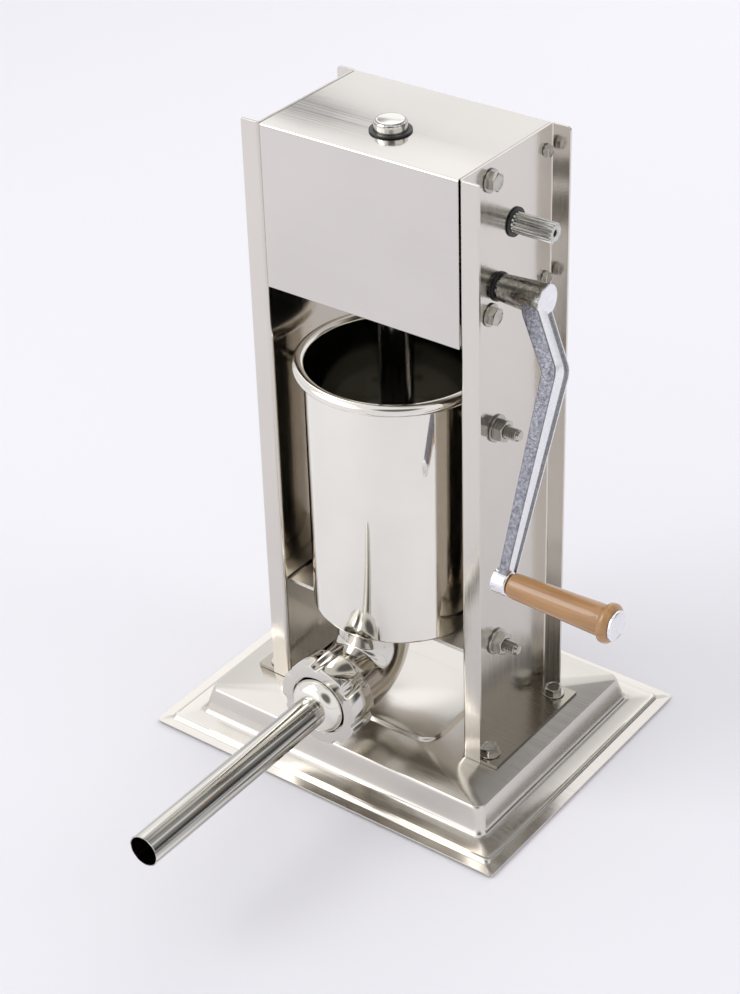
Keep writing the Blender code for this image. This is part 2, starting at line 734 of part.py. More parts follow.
def head_cover():
    """A sheet bent over the gears, with a tab at each side for the upper bolts."""
    half = COVER_SHEET / 2
    corners = [
        (half, COVER_BOTTOM), (half, PANEL_TOP - half),
        (PANEL_DEPTH - half, PANEL_TOP - half), (PANEL_DEPTH - half, COVER_BOTTOM),
    ]
    cover = flat("head_cover", sheet_outline(corners, COVER_SHEET, COVER_BEND), "YZ",
                 -HEAD_HALF, HEAD_HALF, material="brushed_steel")
    tabs = []
    holes = [cone("rod_hole_cover", (0, AXIS_Y, PANEL_TOP - COVER_SHEET - CUT_OVERRUN), "+Z",
                  COVER_SHEET + 2 * CUT_OVERRUN, ROD_RADIUS + 3 * SEAT_GAP + ROD_BUSH_WALL)]
    for side, sign in (("left", -1), ("right", 1)):
        inner = sign * (HEAD_HALF - COVER_SHEET)
        outer = sign * HEAD_HALF
        tabs.append(box("cover_tab_" + side,
                        (min(inner, outer), COVER_TAB_FRONT_Y, PANEL_TOP - COVER_TAB_DROP),
                        (max(inner, outer), PANEL_DEPTH - half, PANEL_TOP - half)))
        for place in ("upper_front", "upper_rear"):
            holes.append(lip_hole("cover_" + side + "_" + place, sign, place))
    combine(cover, tabs, "UNION")
    combine(cover, holes, "DIFFERENCE")


def lip_hole(name, sign, place):
    """A hole for a head bolt in a tab or lip that lies against a panel."""
    y, z = HEAD_BOLT_PLACES[place]
    along = "+X" if sign > 0 else "-X"
    return cone(name, (sign * (HEAD_HALF - FLOOR_SHEET - CUT_OVERRUN), y, z), along,
                FLOOR_SHEET + 2 * CUT_OVERRUN, BOLT_SHANK + SEAT_GAP, sides=SMALL_SIDES)


def gear_floor():
    """The head's floor, with lips turned up along both panels."""
    half = FLOOR_SHEET / 2
    middle = HEAD_HALF - half
    low = COVER_BOTTOM + half
    corners = [(-middle, low + FLOOR_LIP), (-middle, low), (middle, low), (middle, low + FLOOR_LIP)]
    floor = flat("gear_floor", sheet_outline(corners, FLOOR_SHEET, PANEL_BEND), "XZ",
                 COVER_SHEET + SEAT_GAP, PANEL_DEPTH - COVER_SHEET - SEAT_GAP,
                 material="brushed_steel")
    holes = [cone("rod_hole_floor", (0, AXIS_Y, COVER_BOTTOM - CUT_OVERRUN), "+Z",
                  FLOOR_SHEET + 2 * CUT_OVERRUN, ROD_RADIUS + 3 * SEAT_GAP + ROD_BUSH_WALL)]
    for side, sign in (("left", -1), ("right", 1)):
        for place in ("lower_front", "lower_rear"):
            holes.append(lip_hole("floor_" + side + "_" + place, sign, place))
    combine(floor, holes, "DIFFERENCE")


def bearing_plate():
    """The inner plate that carries the slow shaft, on standoffs from the right panel."""
    back = PANEL_DEPTH - BEARING_INSET_Y
    plate = box("bearing_plate",
                (BEARING_X, back - BEARING_DEPTH, COVER_BOTTOM + BEARING_INSET_Z),
                (BEARING_X + BEARING_SHEET, back, PANEL_TOP - BEARING_INSET_Z), material="steel")
    end = HEAD_HALF - FLOOR_SHEET - SEAT_GAP
    standoffs = []
    holes = []
    for name, (y, z) in HEAD_BOLT_PLACES.items():
        standoffs.append(cone("standoff_" + name, (BEARING_X, y, z), "+X", end - BEARING_X,
                              STANDOFF_RADIUS, sides=SMALL_SIDES))
        start = PANEL_OUT - HEAD_BOLT_LENGTH - 2 * SEAT_GAP
        holes.append(cone("standoff_hole_" + name, (start, y, z), "+X", end - start + CUT_OVERRUN,
                          BOLT_SHANK + SEAT_GAP, sides=SMALL_SIDES))
    for name, y, z in (("slow", SLOW_SHAFT_Y, SLOW_SHAFT_Z), ("fast", FAST_SHAFT_Y, FAST_SHAFT_Z)):
        holes.append(cone("bearing_hole_" + name, (BEARING_X - CUT_OVERRUN, y, z), "+X",
                          BEARING_SHEET + 2 * CUT_OVERRUN, BUSH_RADIUS + SEAT_GAP))
    combine(plate, standoffs, "UNION")
    combine(plate, holes, "DIFFERENCE")


def head_bolts():
    """Hex bolts at the front of the head and small screws at its rear, on both panels."""
    bolt_mesh = hex_bolt_mesh("head_bolt", BOLT_HEAD, BOLT_HEAD_HEIGHT, BOLT_WASHER,
                              HEAD_BOLT_LENGTH)
    screw_mesh = hex_bolt_mesh("head_screw", SCREW_HEAD, SCREW_HEAD_HEIGHT, SCREW_HEAD,
                               HEAD_BOLT_LENGTH)
    for side, sign in (("left", -1), ("right", 1)):
        along = "+X" if sign > 0 else "-X"
        for name, (y, z) in HEAD_BOLT_PLACES.items():
            mesh = bolt_mesh if "front" in name else screw_mesh
            place_object("head_bolt_" + side + "_" + name, mesh.copy(),
                         (sign * (PANEL_OUT + SEAT_GAP), y, z), ALONG[along], material="steel")


def foot_bolts():
    mesh = hex_bolt_mesh("foot_bolt", BOLT_HEAD, BOLT_HEAD_HEIGHT, BOLT_WASHER, FOOT_BOLT_LENGTH)
    height = PANEL_BOTTOM + FOOT_PLATE_SHEET + SEAT_GAP
    for name, x, y in foot_bolt_places():
        place_object(name, mesh.copy(), (x, y, height), ALONG["+Z"], material="steel")


def rod_bushes():
    """Flanged rings that guide the rack rod in the cover and in the floor."""
    bore = ROD_RADIUS + SEAT_GAP
    sleeve = bore + ROD_BUSH_WALL
    flange = sleeve + ROD_BUSH_FLANGE
    for name, seat, along in (("rod_bush_top", PANEL_TOP, 1), ("rod_bush_floor", COVER_BOTTOM, -1)):
        start = seat + along * SEAT_GAP
        outer = start + along * ROD_BUSH_RISE
        inner = start - along * ROD_BUSH_LENGTH
        profile = [(bore, outer), (flange, outer), (flange, start), (sleeve, start),
                   (sleeve, inner), (bore, inner)]
        if along < 0:
            profile = profile[::-1]
        turned(name, profile, (0, AXIS_Y, 0), "+Z", closed=True, material="black_plastic")


def rack_outline():
    """The rod's side view: plain at the front, with rack teeth along the rear."""
    margin = ROD_RADIUS + CUT_OVERRUN
    front = AXIS_Y - margin
    back = AXIS_Y + margin
    root = RACK_PITCH_Y - DEDENDUM
    tip = RACK_PITCH_Y + ADDENDUM
    slope = math.tan(PRESSURE_ANGLE)
    half_gap = RACK_PITCH / 4 + TOOTH_THINNING
    first = FAST_SHAFT_Z - RACK_TEETH_BELOW * RACK_PITCH - RACK_PITCH / 2
    last = FAST_SHAFT_Z + RACK_TEETH_ABOVE * RACK_PITCH + RACK_PITCH / 2
    outline = [(front, ROD_BOTTOM), (back, ROD_BOTTOM), (back, first), (tip, first)]
    for index in range(-RACK_TEETH_BELOW, RACK_TEETH_ABOVE + 1):
        middle = FAST_SHAFT_Z + index * RACK_PITCH
        mouth = half_gap + ADDENDUM * slope
        floor = half_gap - DEDENDUM * slope
        outline += [(tip, middle - mouth), (root, middle - floor)]
        outline += [(root, middle + floor), (tip, middle + mouth)]
    outline += [(tip, last), (back, last), (back, ROD_TOP), (front, ROD_TOP)]
    return outline


def rack_rod():
    """A round bar with rack teeth, a chamfered top and a threaded stub for the piston."""
    margin = ROD_RADIUS + CUT_OVERRUN
    options = {"body": "rack_carriage"}
    rod = flat("rack_rod", rack_outline(), "YZ", -margin, margin, material="steel", **options)
    shoulder = ROD_TOP - ROD_CHAMFER
    bottom = ROD_BOTTOM - CUT_OVERRUN
    profile = [(0, ROD_TOP), (ROD_RADIUS - ROD_CHAMFER, ROD_TOP), (ROD_RADIUS, shoulder),
               (ROD_RADIUS, bottom), (0, bottom)]
    round_bar = turned("rod_round", profile, (0, AXIS_Y, 0), "+Z", **options)
    stub_bottom = PISTON_BOTTOM + SEAT_GAP
    stub = cone("rod_stub", (0, AXIS_Y, stub_bottom), "+Z", ROD_BOTTOM - stub_bottom + CUT_OVERRUN,
                ROD_STUB_RADIUS, sides=SMALL_SIDES, **options)
    combine(rod, [round_bar], "INTERSECT")
    combine(rod, [stub], "UNION")


def piston():
    """The disc with its hub and gasket groove, the gasket, the nut and the air valve."""
    options = {"body": "rack_carriage"}
    groove_top = GROOVE_BOTTOM + GROOVE_HEIGHT
    groove_radius = PISTON_RADIUS - GROOVE_DEPTH
    bore = ROD_STUB_RADIUS + SEAT_GAP
    hub_top = PISTON_TOP + PISTON_HUB_HEIGHT
    nut_recess = PISTON_NUT_RADIUS + SEAT_GAP
    nut_top = PISTON_BOTTOM + PISTON_NUT_HEIGHT + 2 * SEAT_GAP
    profile = [
        (bore, hub_top), (PISTON_HUB_RADIUS, hub_top), (PISTON_HUB_RADIUS, PISTON_TOP),
        (PISTON_RADIUS, PISTON_TOP), (PISTON_RADIUS, groove_top), (groove_radius, groove_top),
        (groove_radius, GROOVE_BOTTOM), (PISTON_RADIUS, GROOVE_BOTTOM),
        (PISTON_RADIUS, PISTON_BOTTOM), (nut_recess, PISTON_BOTTOM), (nut_recess, nut_top),
        (bore, nut_top),
    ]
    disc = turned("piston_disc", profile, (0, AXIS_Y, 0), "+Z", sides=LARGE_SIDES, closed=True,
                  material="white_plastic", **options)
    recess = cone("valve_recess", (VALVE_X, AXIS_Y, PISTON_BOTTOM - CUT_OVERRUN), "+Z",
                  VALVE_RECESS_HEIGHT + CUT_OVERRUN, VALVE_RECESS_RADIUS, sides=SMALL_SIDES,
                  **options)
    hole = cone("valve_hole", (VALVE_X, AXIS_Y, PISTON_BOTTOM), "+Z",
                PISTON_HEIGHT + CUT_OVERRUN, VALVE_STEM + SEAT_GAP, sides=SMALL_SIDES, **options)
    combine(disc, [recess, hole], "DIFFERENCE")

    ring_low = GROOVE_BOTTOM + SEAT_GAP
    ring_high = groove_top - SEAT_GAP
    ring_inner = groove_radius + SEAT_GAP
    ring = [(ring_inner, ring_high), (GASKET_RADIUS, ring_high), (GASKET_RADIUS, ring_low),
            (ring_inner, ring_low)]
    turned("piston_gasket", ring, (0, AXIS_Y, 0), "+Z", sides=LARGE_SIDES, closed=True,
           material="rubber", **options)

    nut = cone("piston_nut", (0, AXIS_Y, PISTON_BOTTOM + SEAT_GAP), "+Z", PISTON_NUT_HEIGHT,
               PISTON_NUT_RADIUS, sides=6, material="steel", **options)
    nut_hole = cone("piston_nut_hole", (0, AXIS_Y, PISTON_BOTTOM - CUT_OVERRUN), "+Z",
                    PISTON_NUT_HEIGHT + 3 * CUT_OVERRUN, bore, sides=SMALL_SIDES, **options)
    combine(nut, [nut_hole], "DIFFERENCE")

    head_low = PISTON_TOP + SEAT_GAP
    head_high = head_low + VALVE_HEAD_HEIGHT
    foot_high = PISTON_BOTTOM + VALVE_RECESS_HEIGHT - SEAT_GAP - VALVE_LIFT
    foot_low = foot_high - VALVE_FOOT_HEIGHT
    valve = [(0, head_high), (VALVE_HEAD, head_high), (VALVE_HEAD, head_low),
             (VALVE_STEM, head_low), (VALVE_STEM, foot_high), (VALVE_FOOT, foot_high),
             (VALVE_FOOT, foot_low), (0, foot_low)]
    turned("release_valve", valve, (VALVE_X, AXIS_Y, 0), "+Z", sides=SMALL_SIDES,
           material="white_plastic", body="valve_body")


def spline_outline(place, gap, turn):
    """The toothed section of a shaft's end, larger all round by a gap for the hub's bore."""
    outline = []
    for index in range(2 * SPLINE_TEETH):
        is_tooth = index % 2
        radius = SHAFT_RADIUS + gap - (0 if is_tooth else SPLINE_DEPTH)
        middle = turn + math.pi * index / SPLINE_TEETH
        spread = math.pi / SPLINE_TEETH / 3 + (gap if is_tooth else -gap) / radius
        for angle in (middle - spread, middle + spread):
            outline.append(
                (place[0] + radius * math.cos(angle), place[1] + radius * math.sin(angle))
            )
    return outline


def shaft(name, left, place, body, joined):
    """A round shaft along X with a splined right end."""
    y, z = place
    rod = cone(name, (left, y, z), "+X", JOURNAL_END_X - left, SHAFT_RADIUS, body=body,
               material="steel")
    spline = flat(name + "_spline", spline_outline(place, 0, CRANK_TURN), "YZ",
                  JOURNAL_END_X - CUT_OVERRUN, SHAFT_END_X, body=body)
    combine(rod, [spline] + joined, "UNION")
    centre = cone(name + "_centre", (SHAFT_END_X - SPLINE_CENTRE_DEPTH, y, z), "+X",
                  SPLINE_CENTRE_DEPTH + CUT_OVERRUN, SPLINE_CENTRE_RADIUS,
                  sides=SMALL_SIDES, body=body)
    combine(rod, [centre], "DIFFERENCE")


def shafts_and_gears():
    """The slow shaft with its pinion, and the fast shaft with the gear and rack pinion."""
    fast = (FAST_SHAFT_Y, FAST_SHAFT_Z)
    slow = (SLOW_SHAFT_Y, SLOW_SHAFT_Z)
    toward_slow = math.atan2(slow[1] - fast[1], slow[0] - fast[0])
    toward_gap = toward_slow + math.pi + math.pi / SLOW_PINION_TEETH

    pinion = flat("slow_pinion", gear_outline(SLOW_PINION_TEETH, slow, toward_gap), "YZ",
                  GEAR_X - SLOW_PINION_EXTRA, GEAR_X + GEAR_WIDTH + SLOW_PINION_EXTRA,
                  body="slow_shaft_axis")
    shaft("slow_shaft", BEARING_X - BUSH_FLANGE_WIDTH, slow, "slow_shaft_axis", [pinion])
    shaft("fast_shaft", -PANEL_OUT - SHAFT_STUB, fast, "fast_shaft_axis", [])

    options = {"body": "fast_shaft_axis"}
    gear = flat("large_gear", gear_outline(LARGE_GEAR_TEETH, fast, toward_slow), "YZ",
                GEAR_X, GEAR_X + GEAR_WIDTH, material="steel", **options)
    hub = cone("large_gear_hub", (GEAR_X - GEAR_HUB_LENGTH, *fast), "+X",
               GEAR_HUB_LENGTH + GEAR_WIDTH / 2, GEAR_HUB_RADIUS, **options)
    hole = cone("large_gear_hole", (GEAR_X - GEAR_HUB_LENGTH - CUT_OVERRUN, *fast), "+X",
                GEAR_HUB_LENGTH + GEAR_WIDTH + 2 * CUT_OVERRUN, BUSH_BORE, **options)
    combine(gear, [hub], "UNION")
    combine(gear, [hole], "DIFFERENCE")

    half = RACK_PINION_WIDTH / 2
    rack_pinion = flat("rack_pinion", gear_outline(RACK_PINION_TEETH, fast, math.pi), "YZ",
                       -half, half, material="steel", **options)
    bore = cone("rack_pinion_hole", (-half - CUT_OVERRUN, *fast), "+X",
                RACK_PINION_WIDTH + 2 * CUT_OVERRUN, BUSH_BORE, **options)
    combine(rack_pinion, [bore], "DIFFERENCE")


def shaft_bush(name, seat, along, sheet, place):
    """A flanged bush in a sheet, its flange on the seat's side."""
    flange = BUSH_RADIUS + BUSH_FLANGE
    top = SEAT_GAP + BUSH_FLANGE_WIDTH
    bottom = -sheet - SEAT_GAP
    profile = [(BUSH_BORE, top), (flange, top), (flange, SEAT_GAP), (BUSH_RADIUS, SEAT_GAP),
               (BUSH_RADIUS, bottom), (BUSH_BORE, bottom)]
    turned(name, profile, (seat, *place), along, sides=BUSH_SIDES, closed=True,
           material="black_plastic")


def shaft_bushes():
    fast = (FAST_SHAFT_Y, FAST_SHAFT_Z)
    slow = (SLOW_SHAFT_Y, SLOW_SHAFT_Z)
    shaft_bush("fast_bush_right", PANEL_OUT, "+X", PANEL_SHEET, fast)
    shaft_bush("fast_bush_left", -PANEL_OUT, "-X", PANEL_SHEET, fast)
    shaft_bush("slow_bush_right", PANEL_OUT, "+X", PANEL_SHEET, slow)
    shaft_bush("slow_bush_inner", BEARING_X, "-X", BEARING_SHEET, slow)
    shaft_bush("fast_bush_inner", BEARING_X, "-X", BEARING_SHEET, fast)


def crank_bar():
    """The crank's bar: bent outward in its side view, tapered in its front view."""
    y, z = SLOW_SHAFT_Y, SLOW_SHAFT_Z
    front = HUB_END_X - ARM_SET_BACK
    top_x = front - ARM_TOP_THICKNESS / 2
    corners = [
        (top_x, z), (top_x, z - ARM_NECK),
        (front + ARM_OFFSET - ARM_KNEE_THICKNESS / 2, z - ARM_KNEE),
        (front + ARM_OFFSET - ARM_END_THICKNESS / 2, GRIP_Z),
    ]
    path = rounded_path(corners, ARM_BEND)
    halves = []
    for point, _normal in path:
        down = z - point.y
        if down < ARM_KNEE:
            share = down / ARM_KNEE
            thickness = ARM_TOP_THICKNESS + (ARM_KNEE_THICKNESS - ARM_TOP_THICKNESS) * share
        else:
            share = (down - ARM_KNEE) / (CRANK_RADIUS - ARM_KNEE)
            thickness = ARM_KNEE_THICKNESS + (ARM_END_THICKNESS - ARM_KNEE_THICKNESS) * share
        halves.append(thickness / 2)
    margin = ARM_TOP_WIDTH
    bar = flat("crank_bar", strip_outline(path, halves), "XZ", y - margin, y + margin,
               body="crank_axis")
    top = ARM_TOP_WIDTH / 2
    end = ARM_END_WIDTH / 2
    outline = [
        (y - top, z), (y + top, z), (y + top, z - ARM_KNEE), (y + end, GRIP_Z - CUT_OVERRUN),
        (y - end, GRIP_Z - CUT_OVERRUN), (y - top, z - ARM_KNEE),
    ]
    front_view = flat("crank_front_view", outline, "YZ", HUB_START_X, BOSS_END_X + margin,
                      body="crank_axis")
    return combine(bar, [front_view], "INTERSECT")


def crank_arm():
    """A cast arm: a conical hub on the slow shaft, the bar and a boss for the grip's axle."""
    options = {"body": "crank_axis"}
    y, z = SLOW_SHAFT_Y, SLOW_SHAFT_Z
    hub = cone("crank_arm", (HUB_START_X, y, z), "+X", HUB_END_X - HUB_START_X, HUB_ROOT_RADIUS,
               end_radius=HUB_END_RADIUS, material="cast_alloy", **options)
    boss = cone("crank_boss", (BOSS_START_X, GRIP_Y, GRIP_Z), "+X", BOSS_LENGTH, BOSS_RADIUS,
                **options)
    combine(hub, [crank_bar(), boss], "UNION")
    bore = flat("crank_bore", spline_outline((y, z), SEAT_GAP, 0), "YZ",
                HUB_START_X - CUT_OVERRUN, HUB_END_X - HUB_END_WALL, **options)
    axle_hole = cone("axle_hole", (BOSS_START_X - CUT_OVERRUN, GRIP_Y, GRIP_Z), "+X",
                     BOSS_LENGTH + 2 * CUT_OVERRUN, AXLE_RADIUS + SEAT_GAP,
                     sides=SMALL_SIDES, **options)
    combine(hub, [bore, axle_hole], "DIFFERENCE")


def grip():
    """A turned wooden grip on an axle whose wide head closes its outer end."""
    bore = AXLE_RADIUS + AXLE_GAP
    ring_start = GRIP_LENGTH - GRIP_RING_WIDTH
    flare = GRIP_RING_RADIUS - GRIP_END_RADIUS
    profile = [
        (bore, GRIP_LENGTH), (GRIP_END_RADIUS, GRIP_LENGTH),
        (GRIP_RING_RADIUS, GRIP_LENGTH - flare / 2), (GRIP_RING_RADIUS, ring_start + flare),
        (GRIP_END_RADIUS, ring_start), (GRIP_ROOT_RADIUS, flare / 2),
        (GRIP_ROOT_RADIUS - flare / 2, 0), (bore, 0),
    ]
    turned("crank_grip", profile, (GRIP_START_X, GRIP_Y, GRIP_Z), "+X", closed=True,
           material="wood", body="grip_axis")
    head_start = GRIP_END_X + SEAT_GAP
    axle = cone("grip_axle", (BOSS_START_X, GRIP_Y, GRIP_Z), "+X", head_start - BOSS_START_X,
                AXLE_RADIUS, sides=SMALL_SIDES, body="crank_axis", material="polished_steel")
    head = cone("axle_head", (head_start, GRIP_Y, GRIP_Z), "+X", AXLE_HEAD_HEIGHT,
                AXLE_HEAD_RADIUS, body="crank_axis")
    combine(axle, [head], "UNION")


def cylinder():
    """The open can with a rolled rim and the outlet's hole in its floor."""
    floor_top = CAN_BOTTOM + CAN_FLOOR
    bead_radius = BORE_RADIUS + BEAD_RADIUS
    bead_z = CAN_TOP - BEAD_RADIUS
    under = math.acos((CAN_RADIUS - bead_radius) / BEAD_RADIUS)
    bead = arc((bead_radius, bead_z), BEAD_RADIUS, math.pi, -under, BEAD_STEPS)
    profile = [(0, floor_top), (BORE_RADIUS, floor_top)] + bead
    profile += [(CAN_RADIUS, CAN_BOTTOM), (0, CAN_BOTTOM)]
    can = turned("cylinder", profile, (0, AXIS_Y, 0), "+Z", sides=LARGE_SIDES,
                 material="polished_steel")
    outlet = cone("outlet_hole", (0, OUTLET_Y, CAN_BOTTOM - CUT_OVERRUN), "+Z",
                  CAN_FLOOR + 2 * CUT_OVERRUN, OUTLET_RADIUS - OUTLET_WALL)
    combine(can, [outlet], "DIFFERENCE")


def cradle():
    """A plate under the cylinder, cut away round the outlet, that hangs on two side pins."""
    top = CAN_BOTTOM - SEAT_GAP
    bottom = top - CRADLE_SHEET
    half = PANEL_IN - CRADLE_GAP_X
    front = AXIS_Y - CRADLE_REACH_FRONT
    back = AXIS_Y + CRADLE_REACH_BACK
    notch = OUTLET_RADIUS + CRADLE_NOTCH_GAP
    notch_y = OUTLET_Y + notch
    outline = [
        (-half, front), (-notch, front), (-notch, notch_y), (notch, notch_y), (notch, front),
        (half, front), (half, back), (-half, back),
    ]
    plate = flat("cylinder_cradle", outline, "XY", bottom, top, material="brushed_steel")
    ears = []
    holes = []
    for side, sign in (("left", -1), ("right", 1)):
        inner = sign * (half - CRADLE_SHEET)
        outer = sign * half
        ears.append(box("cradle_ear_" + side,
                        (min(inner, outer), PIN_Y - CRADLE_EAR_HALF, top - CRADLE_EAR_DROP),
                        (max(inner, outer), PIN_Y + CRADLE_EAR_HALF, top)))
        along = "+X" if sign > 0 else "-X"
        holes.append(cone("cradle_hole_" + side, (inner - sign * CUT_OVERRUN, PIN_Y, PIN_Z), along,
                          CRADLE_SHEET + 2 * CUT_OVERRUN, PIN_RADIUS + SEAT_GAP,
                          sides=SMALL_SIDES))
    combine(plate, ears, "UNION")
    combine(plate, holes, "DIFFERENCE")


def pins_and_nuts():
    """The cradle's pins, the studs that steady the cylinder, and a nut outside on each."""
    washer = cone("side_nut", (0, 0, 0), "+Z", NUT_WASHER_HEIGHT, NUT_WASHER_RADIUS,
                  sides=SMALL_SIDES)
    nut = cone("nut_body", (0, 0, 0), "+Z", NUT_WASHER_HEIGHT + NUT_HEIGHT, NUT_RADIUS, sides=6)
    hole = cone("nut_hole", (0, 0, -CUT_OVERRUN), "+Z",
                NUT_WASHER_HEIGHT + NUT_HEIGHT + 2 * CUT_OVERRUN, PIN_RADIUS + SEAT_GAP,
                sides=SMALL_SIDES)
    combine(washer, [nut], "UNION")
    combine(washer, [hole], "DIFFERENCE")
    nut_mesh = baked_mesh(washer)
    for tool in (nut, hole):
        bpy.data.objects.remove(tool, do_unlink=True)
    pin_inner = PANEL_OUT - PIN_REACH_IN
    stud_inner = CAN_RADIUS + STUD_CLEARANCE
    outer = PANEL_OUT + PIN_REACH_OUT
    for side, sign in (("left", -1), ("right", 1)):
        along = "+X" if sign > 0 else "-X"
        for name, inner, z in (("pin", pin_inner, PIN_Z), ("stud", stud_inner, STUD_Z)):
            cone(name + "_" + side, (sign * inner, PIN_Y, z), along, outer - inner,
                 PIN_RADIUS, sides=SMALL_SIDES, material="steel")
            place_object(name + "_nut_" + side, nut_mesh.copy(),
                         (sign * (PANEL_OUT + SEAT_GAP), PIN_Y, z), ALONG[along],
                         material="steel")


def outlet_path(overrun):
    """Down from the cylinder's floor, round the bend and forward, in Y and Z."""
    centre = (OUTLET_Y - OUTLET_BEND, OUTLET_Z + OUTLET_BEND)
    path = [(OUTLET_Y, OUTLET_TOP + overrun)]
    path += arc(centre, OUTLET_BEND, 0, -QUARTER, OUTLET_BEND_STEPS)
    path.append((OUTLET_END_Y - overrun, OUTLET_Z))
    return path


def outlet_elbow():
    """A bent pipe from the cylinder's floor to a threaded collar."""
    elbow = pipe("outlet_elbow", outlet_path(0), OUTLET_RADIUS, material="polished_steel")
    collar = cone("outlet_collar", (0, OUTLET_END_Y + COLLAR_LENGTH, OUTLET_Z), "-Y",
                  COLLAR_LENGTH, COLLAR_RADIUS, sides=2 * SMALL_SIDES)
    combine(elbow, [collar], "UNION")
    bore = pipe("outlet_bore", outlet_path(CUT_OVERRUN), OUTLET_RADIUS - OUTLET_WALL)
    combine(elbow, [bore], "DIFFERENCE")


def nozzle():
    """A straight tube with a domed flange, and the gasket behind it."""
    options = {"body": "nozzle_axis"}
    bore = NOZZLE_RADIUS - NOZZLE_WALL
    rim = NOZZLE_RIM_HEIGHT
    outer = []
    inner = []
    for step in range(DOME_STEPS + 1):
        angle = QUARTER * (1 - step / DOME_STEPS)
        across = math.cos(angle)
        forward = math.sin(angle)
        outer.append((NOZZLE_RADIUS + (NOZZLE_DOME_RADIUS - NOZZLE_RADIUS) * across,
                      rim + NOZZLE_DOME_HEIGHT * forward))
        inner.append((bore + (NOZZLE_DOME_RADIUS - NOZZLE_RADIUS) * across,
                      (rim + NOZZLE_DOME_HEIGHT - NOZZLE_WALL) * forward))
    profile = [(bore, NOZZLE_LENGTH), (NOZZLE_RADIUS, NOZZLE_LENGTH)] + outer
    profile += [(NOZZLE_RIM_RADIUS, rim), (NOZZLE_RIM_RADIUS, 0)] + inner[::-1]
    turned("nozzle", profile, (0, NOZZLE_BACK_Y, OUTLET_Z), "-Y", closed=True,
           material="polished_steel", **options)
    edge = COLLAR_RADIUS - SEAT_GAP
    gasket = [(NOZZLE_DOME_RADIUS, NOZZLE_GASKET_HEIGHT), (edge, NOZZLE_GASKET_HEIGHT),
              (edge, 0), (NOZZLE_DOME_RADIUS, 0)]
    turned("nozzle_gasket", gasket, (0, OUTLET_END_Y - SEAT_GAP, OUTLET_Z), "-Y", closed=True,
           material="rubber", **options)


def ring_nut():
    """The nut that holds the nozzle, with finger flutes along its whole length."""
    options = {"body": "nut_axis"}
    bore = COLLAR_RADIUS + SEAT_GAP
    cavity = RING_NUT_LENGTH - RING_NUT_FRONT
    start = NUT_FRONT_Y + RING_NUT_LENGTH
    profile = [
        (RING_NUT_HOLE, RING_NUT_LENGTH), (RING_NUT_RADIUS - RING_NUT_CHAMFER, RING_NUT_LENGTH),
        (RING_NUT_RADIUS, RING_NUT_LENGTH - RING_NUT_CHAMFER), (RING_NUT_RADIUS, 0),
        (bore, 0), (bore, cavity), (RING_NUT_HOLE, cavity),
    ]
    nut = turned("ring_nut", profile, (0, start, OUTLET_Z), "-Y", sides=4 * FLUTES,
                 closed=True, material="polished_steel", **options)
    centre = RING_NUT_RADIUS + FLUTE_RADIUS - FLUTE_DEPTH
    length = RING_NUT_LENGTH + 2 * CUT_OVERRUN
    flutes = []
    for index in range(FLUTES):
        angle = FLUTE_TURN + 2 * math.pi * index / FLUTES
        place = (centre * math.cos(angle), start + CUT_OVERRUN, OUTLET_Z + centre * math.sin(angle))
        flutes.append(cone("flute_" + str(index + 1), place, "-Y", length, FLUTE_RADIUS,
                           sides=SMALL_SIDES, **options))
    combine(nut, flutes, "DIFFERENCE")


def build():
    make_bodies()
    base_plate()
    rubber_pads()
    side_panel("left", -1)
    side_panel("right", 1)
    head_cover()
    gear_floor()
    bearing_plate()
    head_bolts()
    foot_bolts()
    rod_bushes()
    rack_rod()
    piston()
    shafts_and_gears()
    shaft_bushes()
    crank_arm()
    grip()
    cylinder()
    cradle()
    pins_and_nuts()
    outlet_elbow()
    nozzle()
    ring_nut()


build()
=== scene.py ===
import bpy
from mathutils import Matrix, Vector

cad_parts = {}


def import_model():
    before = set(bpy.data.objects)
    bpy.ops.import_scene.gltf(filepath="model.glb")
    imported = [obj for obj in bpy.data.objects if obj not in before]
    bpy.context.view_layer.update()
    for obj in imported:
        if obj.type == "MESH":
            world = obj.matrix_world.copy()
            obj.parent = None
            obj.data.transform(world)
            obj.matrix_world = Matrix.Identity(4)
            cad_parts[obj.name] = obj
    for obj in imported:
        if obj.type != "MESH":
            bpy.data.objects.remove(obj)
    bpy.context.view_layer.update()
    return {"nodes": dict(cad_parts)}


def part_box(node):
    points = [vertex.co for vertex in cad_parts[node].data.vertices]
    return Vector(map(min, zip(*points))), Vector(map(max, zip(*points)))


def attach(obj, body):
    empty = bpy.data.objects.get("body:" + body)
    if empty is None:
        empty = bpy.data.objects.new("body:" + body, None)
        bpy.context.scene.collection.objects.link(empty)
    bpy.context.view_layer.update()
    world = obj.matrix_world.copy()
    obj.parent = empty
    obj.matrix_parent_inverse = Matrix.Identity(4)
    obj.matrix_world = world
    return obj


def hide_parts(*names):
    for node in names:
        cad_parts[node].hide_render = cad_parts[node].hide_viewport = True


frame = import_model()

# Looks of a hand-cranked vertical sausage stuffer, in metres. Most shapes are made in machine
# coordinates: X = 0 is the mid-plane, Y = 0 the front of the side panels, Z = 0 the floor.

import math

import bmesh
import bpy
from mathutils import Matrix, Vector

# Camera, fitted to the photograph
IMAGE_LONG_SIDE = 994
SENSOR = 36.0
FOCAL_PIXELS = 2330.8
CENTRE_SHIFT_X = 0.47
CENTRE_SHIFT_Y = -33.17
CAMERA_AZIMUTH = math.radians(37.60)
CAMERA_ELEVATION = math.radians(32.21)
CAMERA_ROLL = math.radians(-1.83)
CAMERA_DISTANCE = 1.7832
CAMERA_RIGHT = 0.00275
CAMERA_UP = -0.00386
CAMERA_TARGET_HEIGHT = 0.280
CLIP_START = 0.01
CLIP_END = 100.0

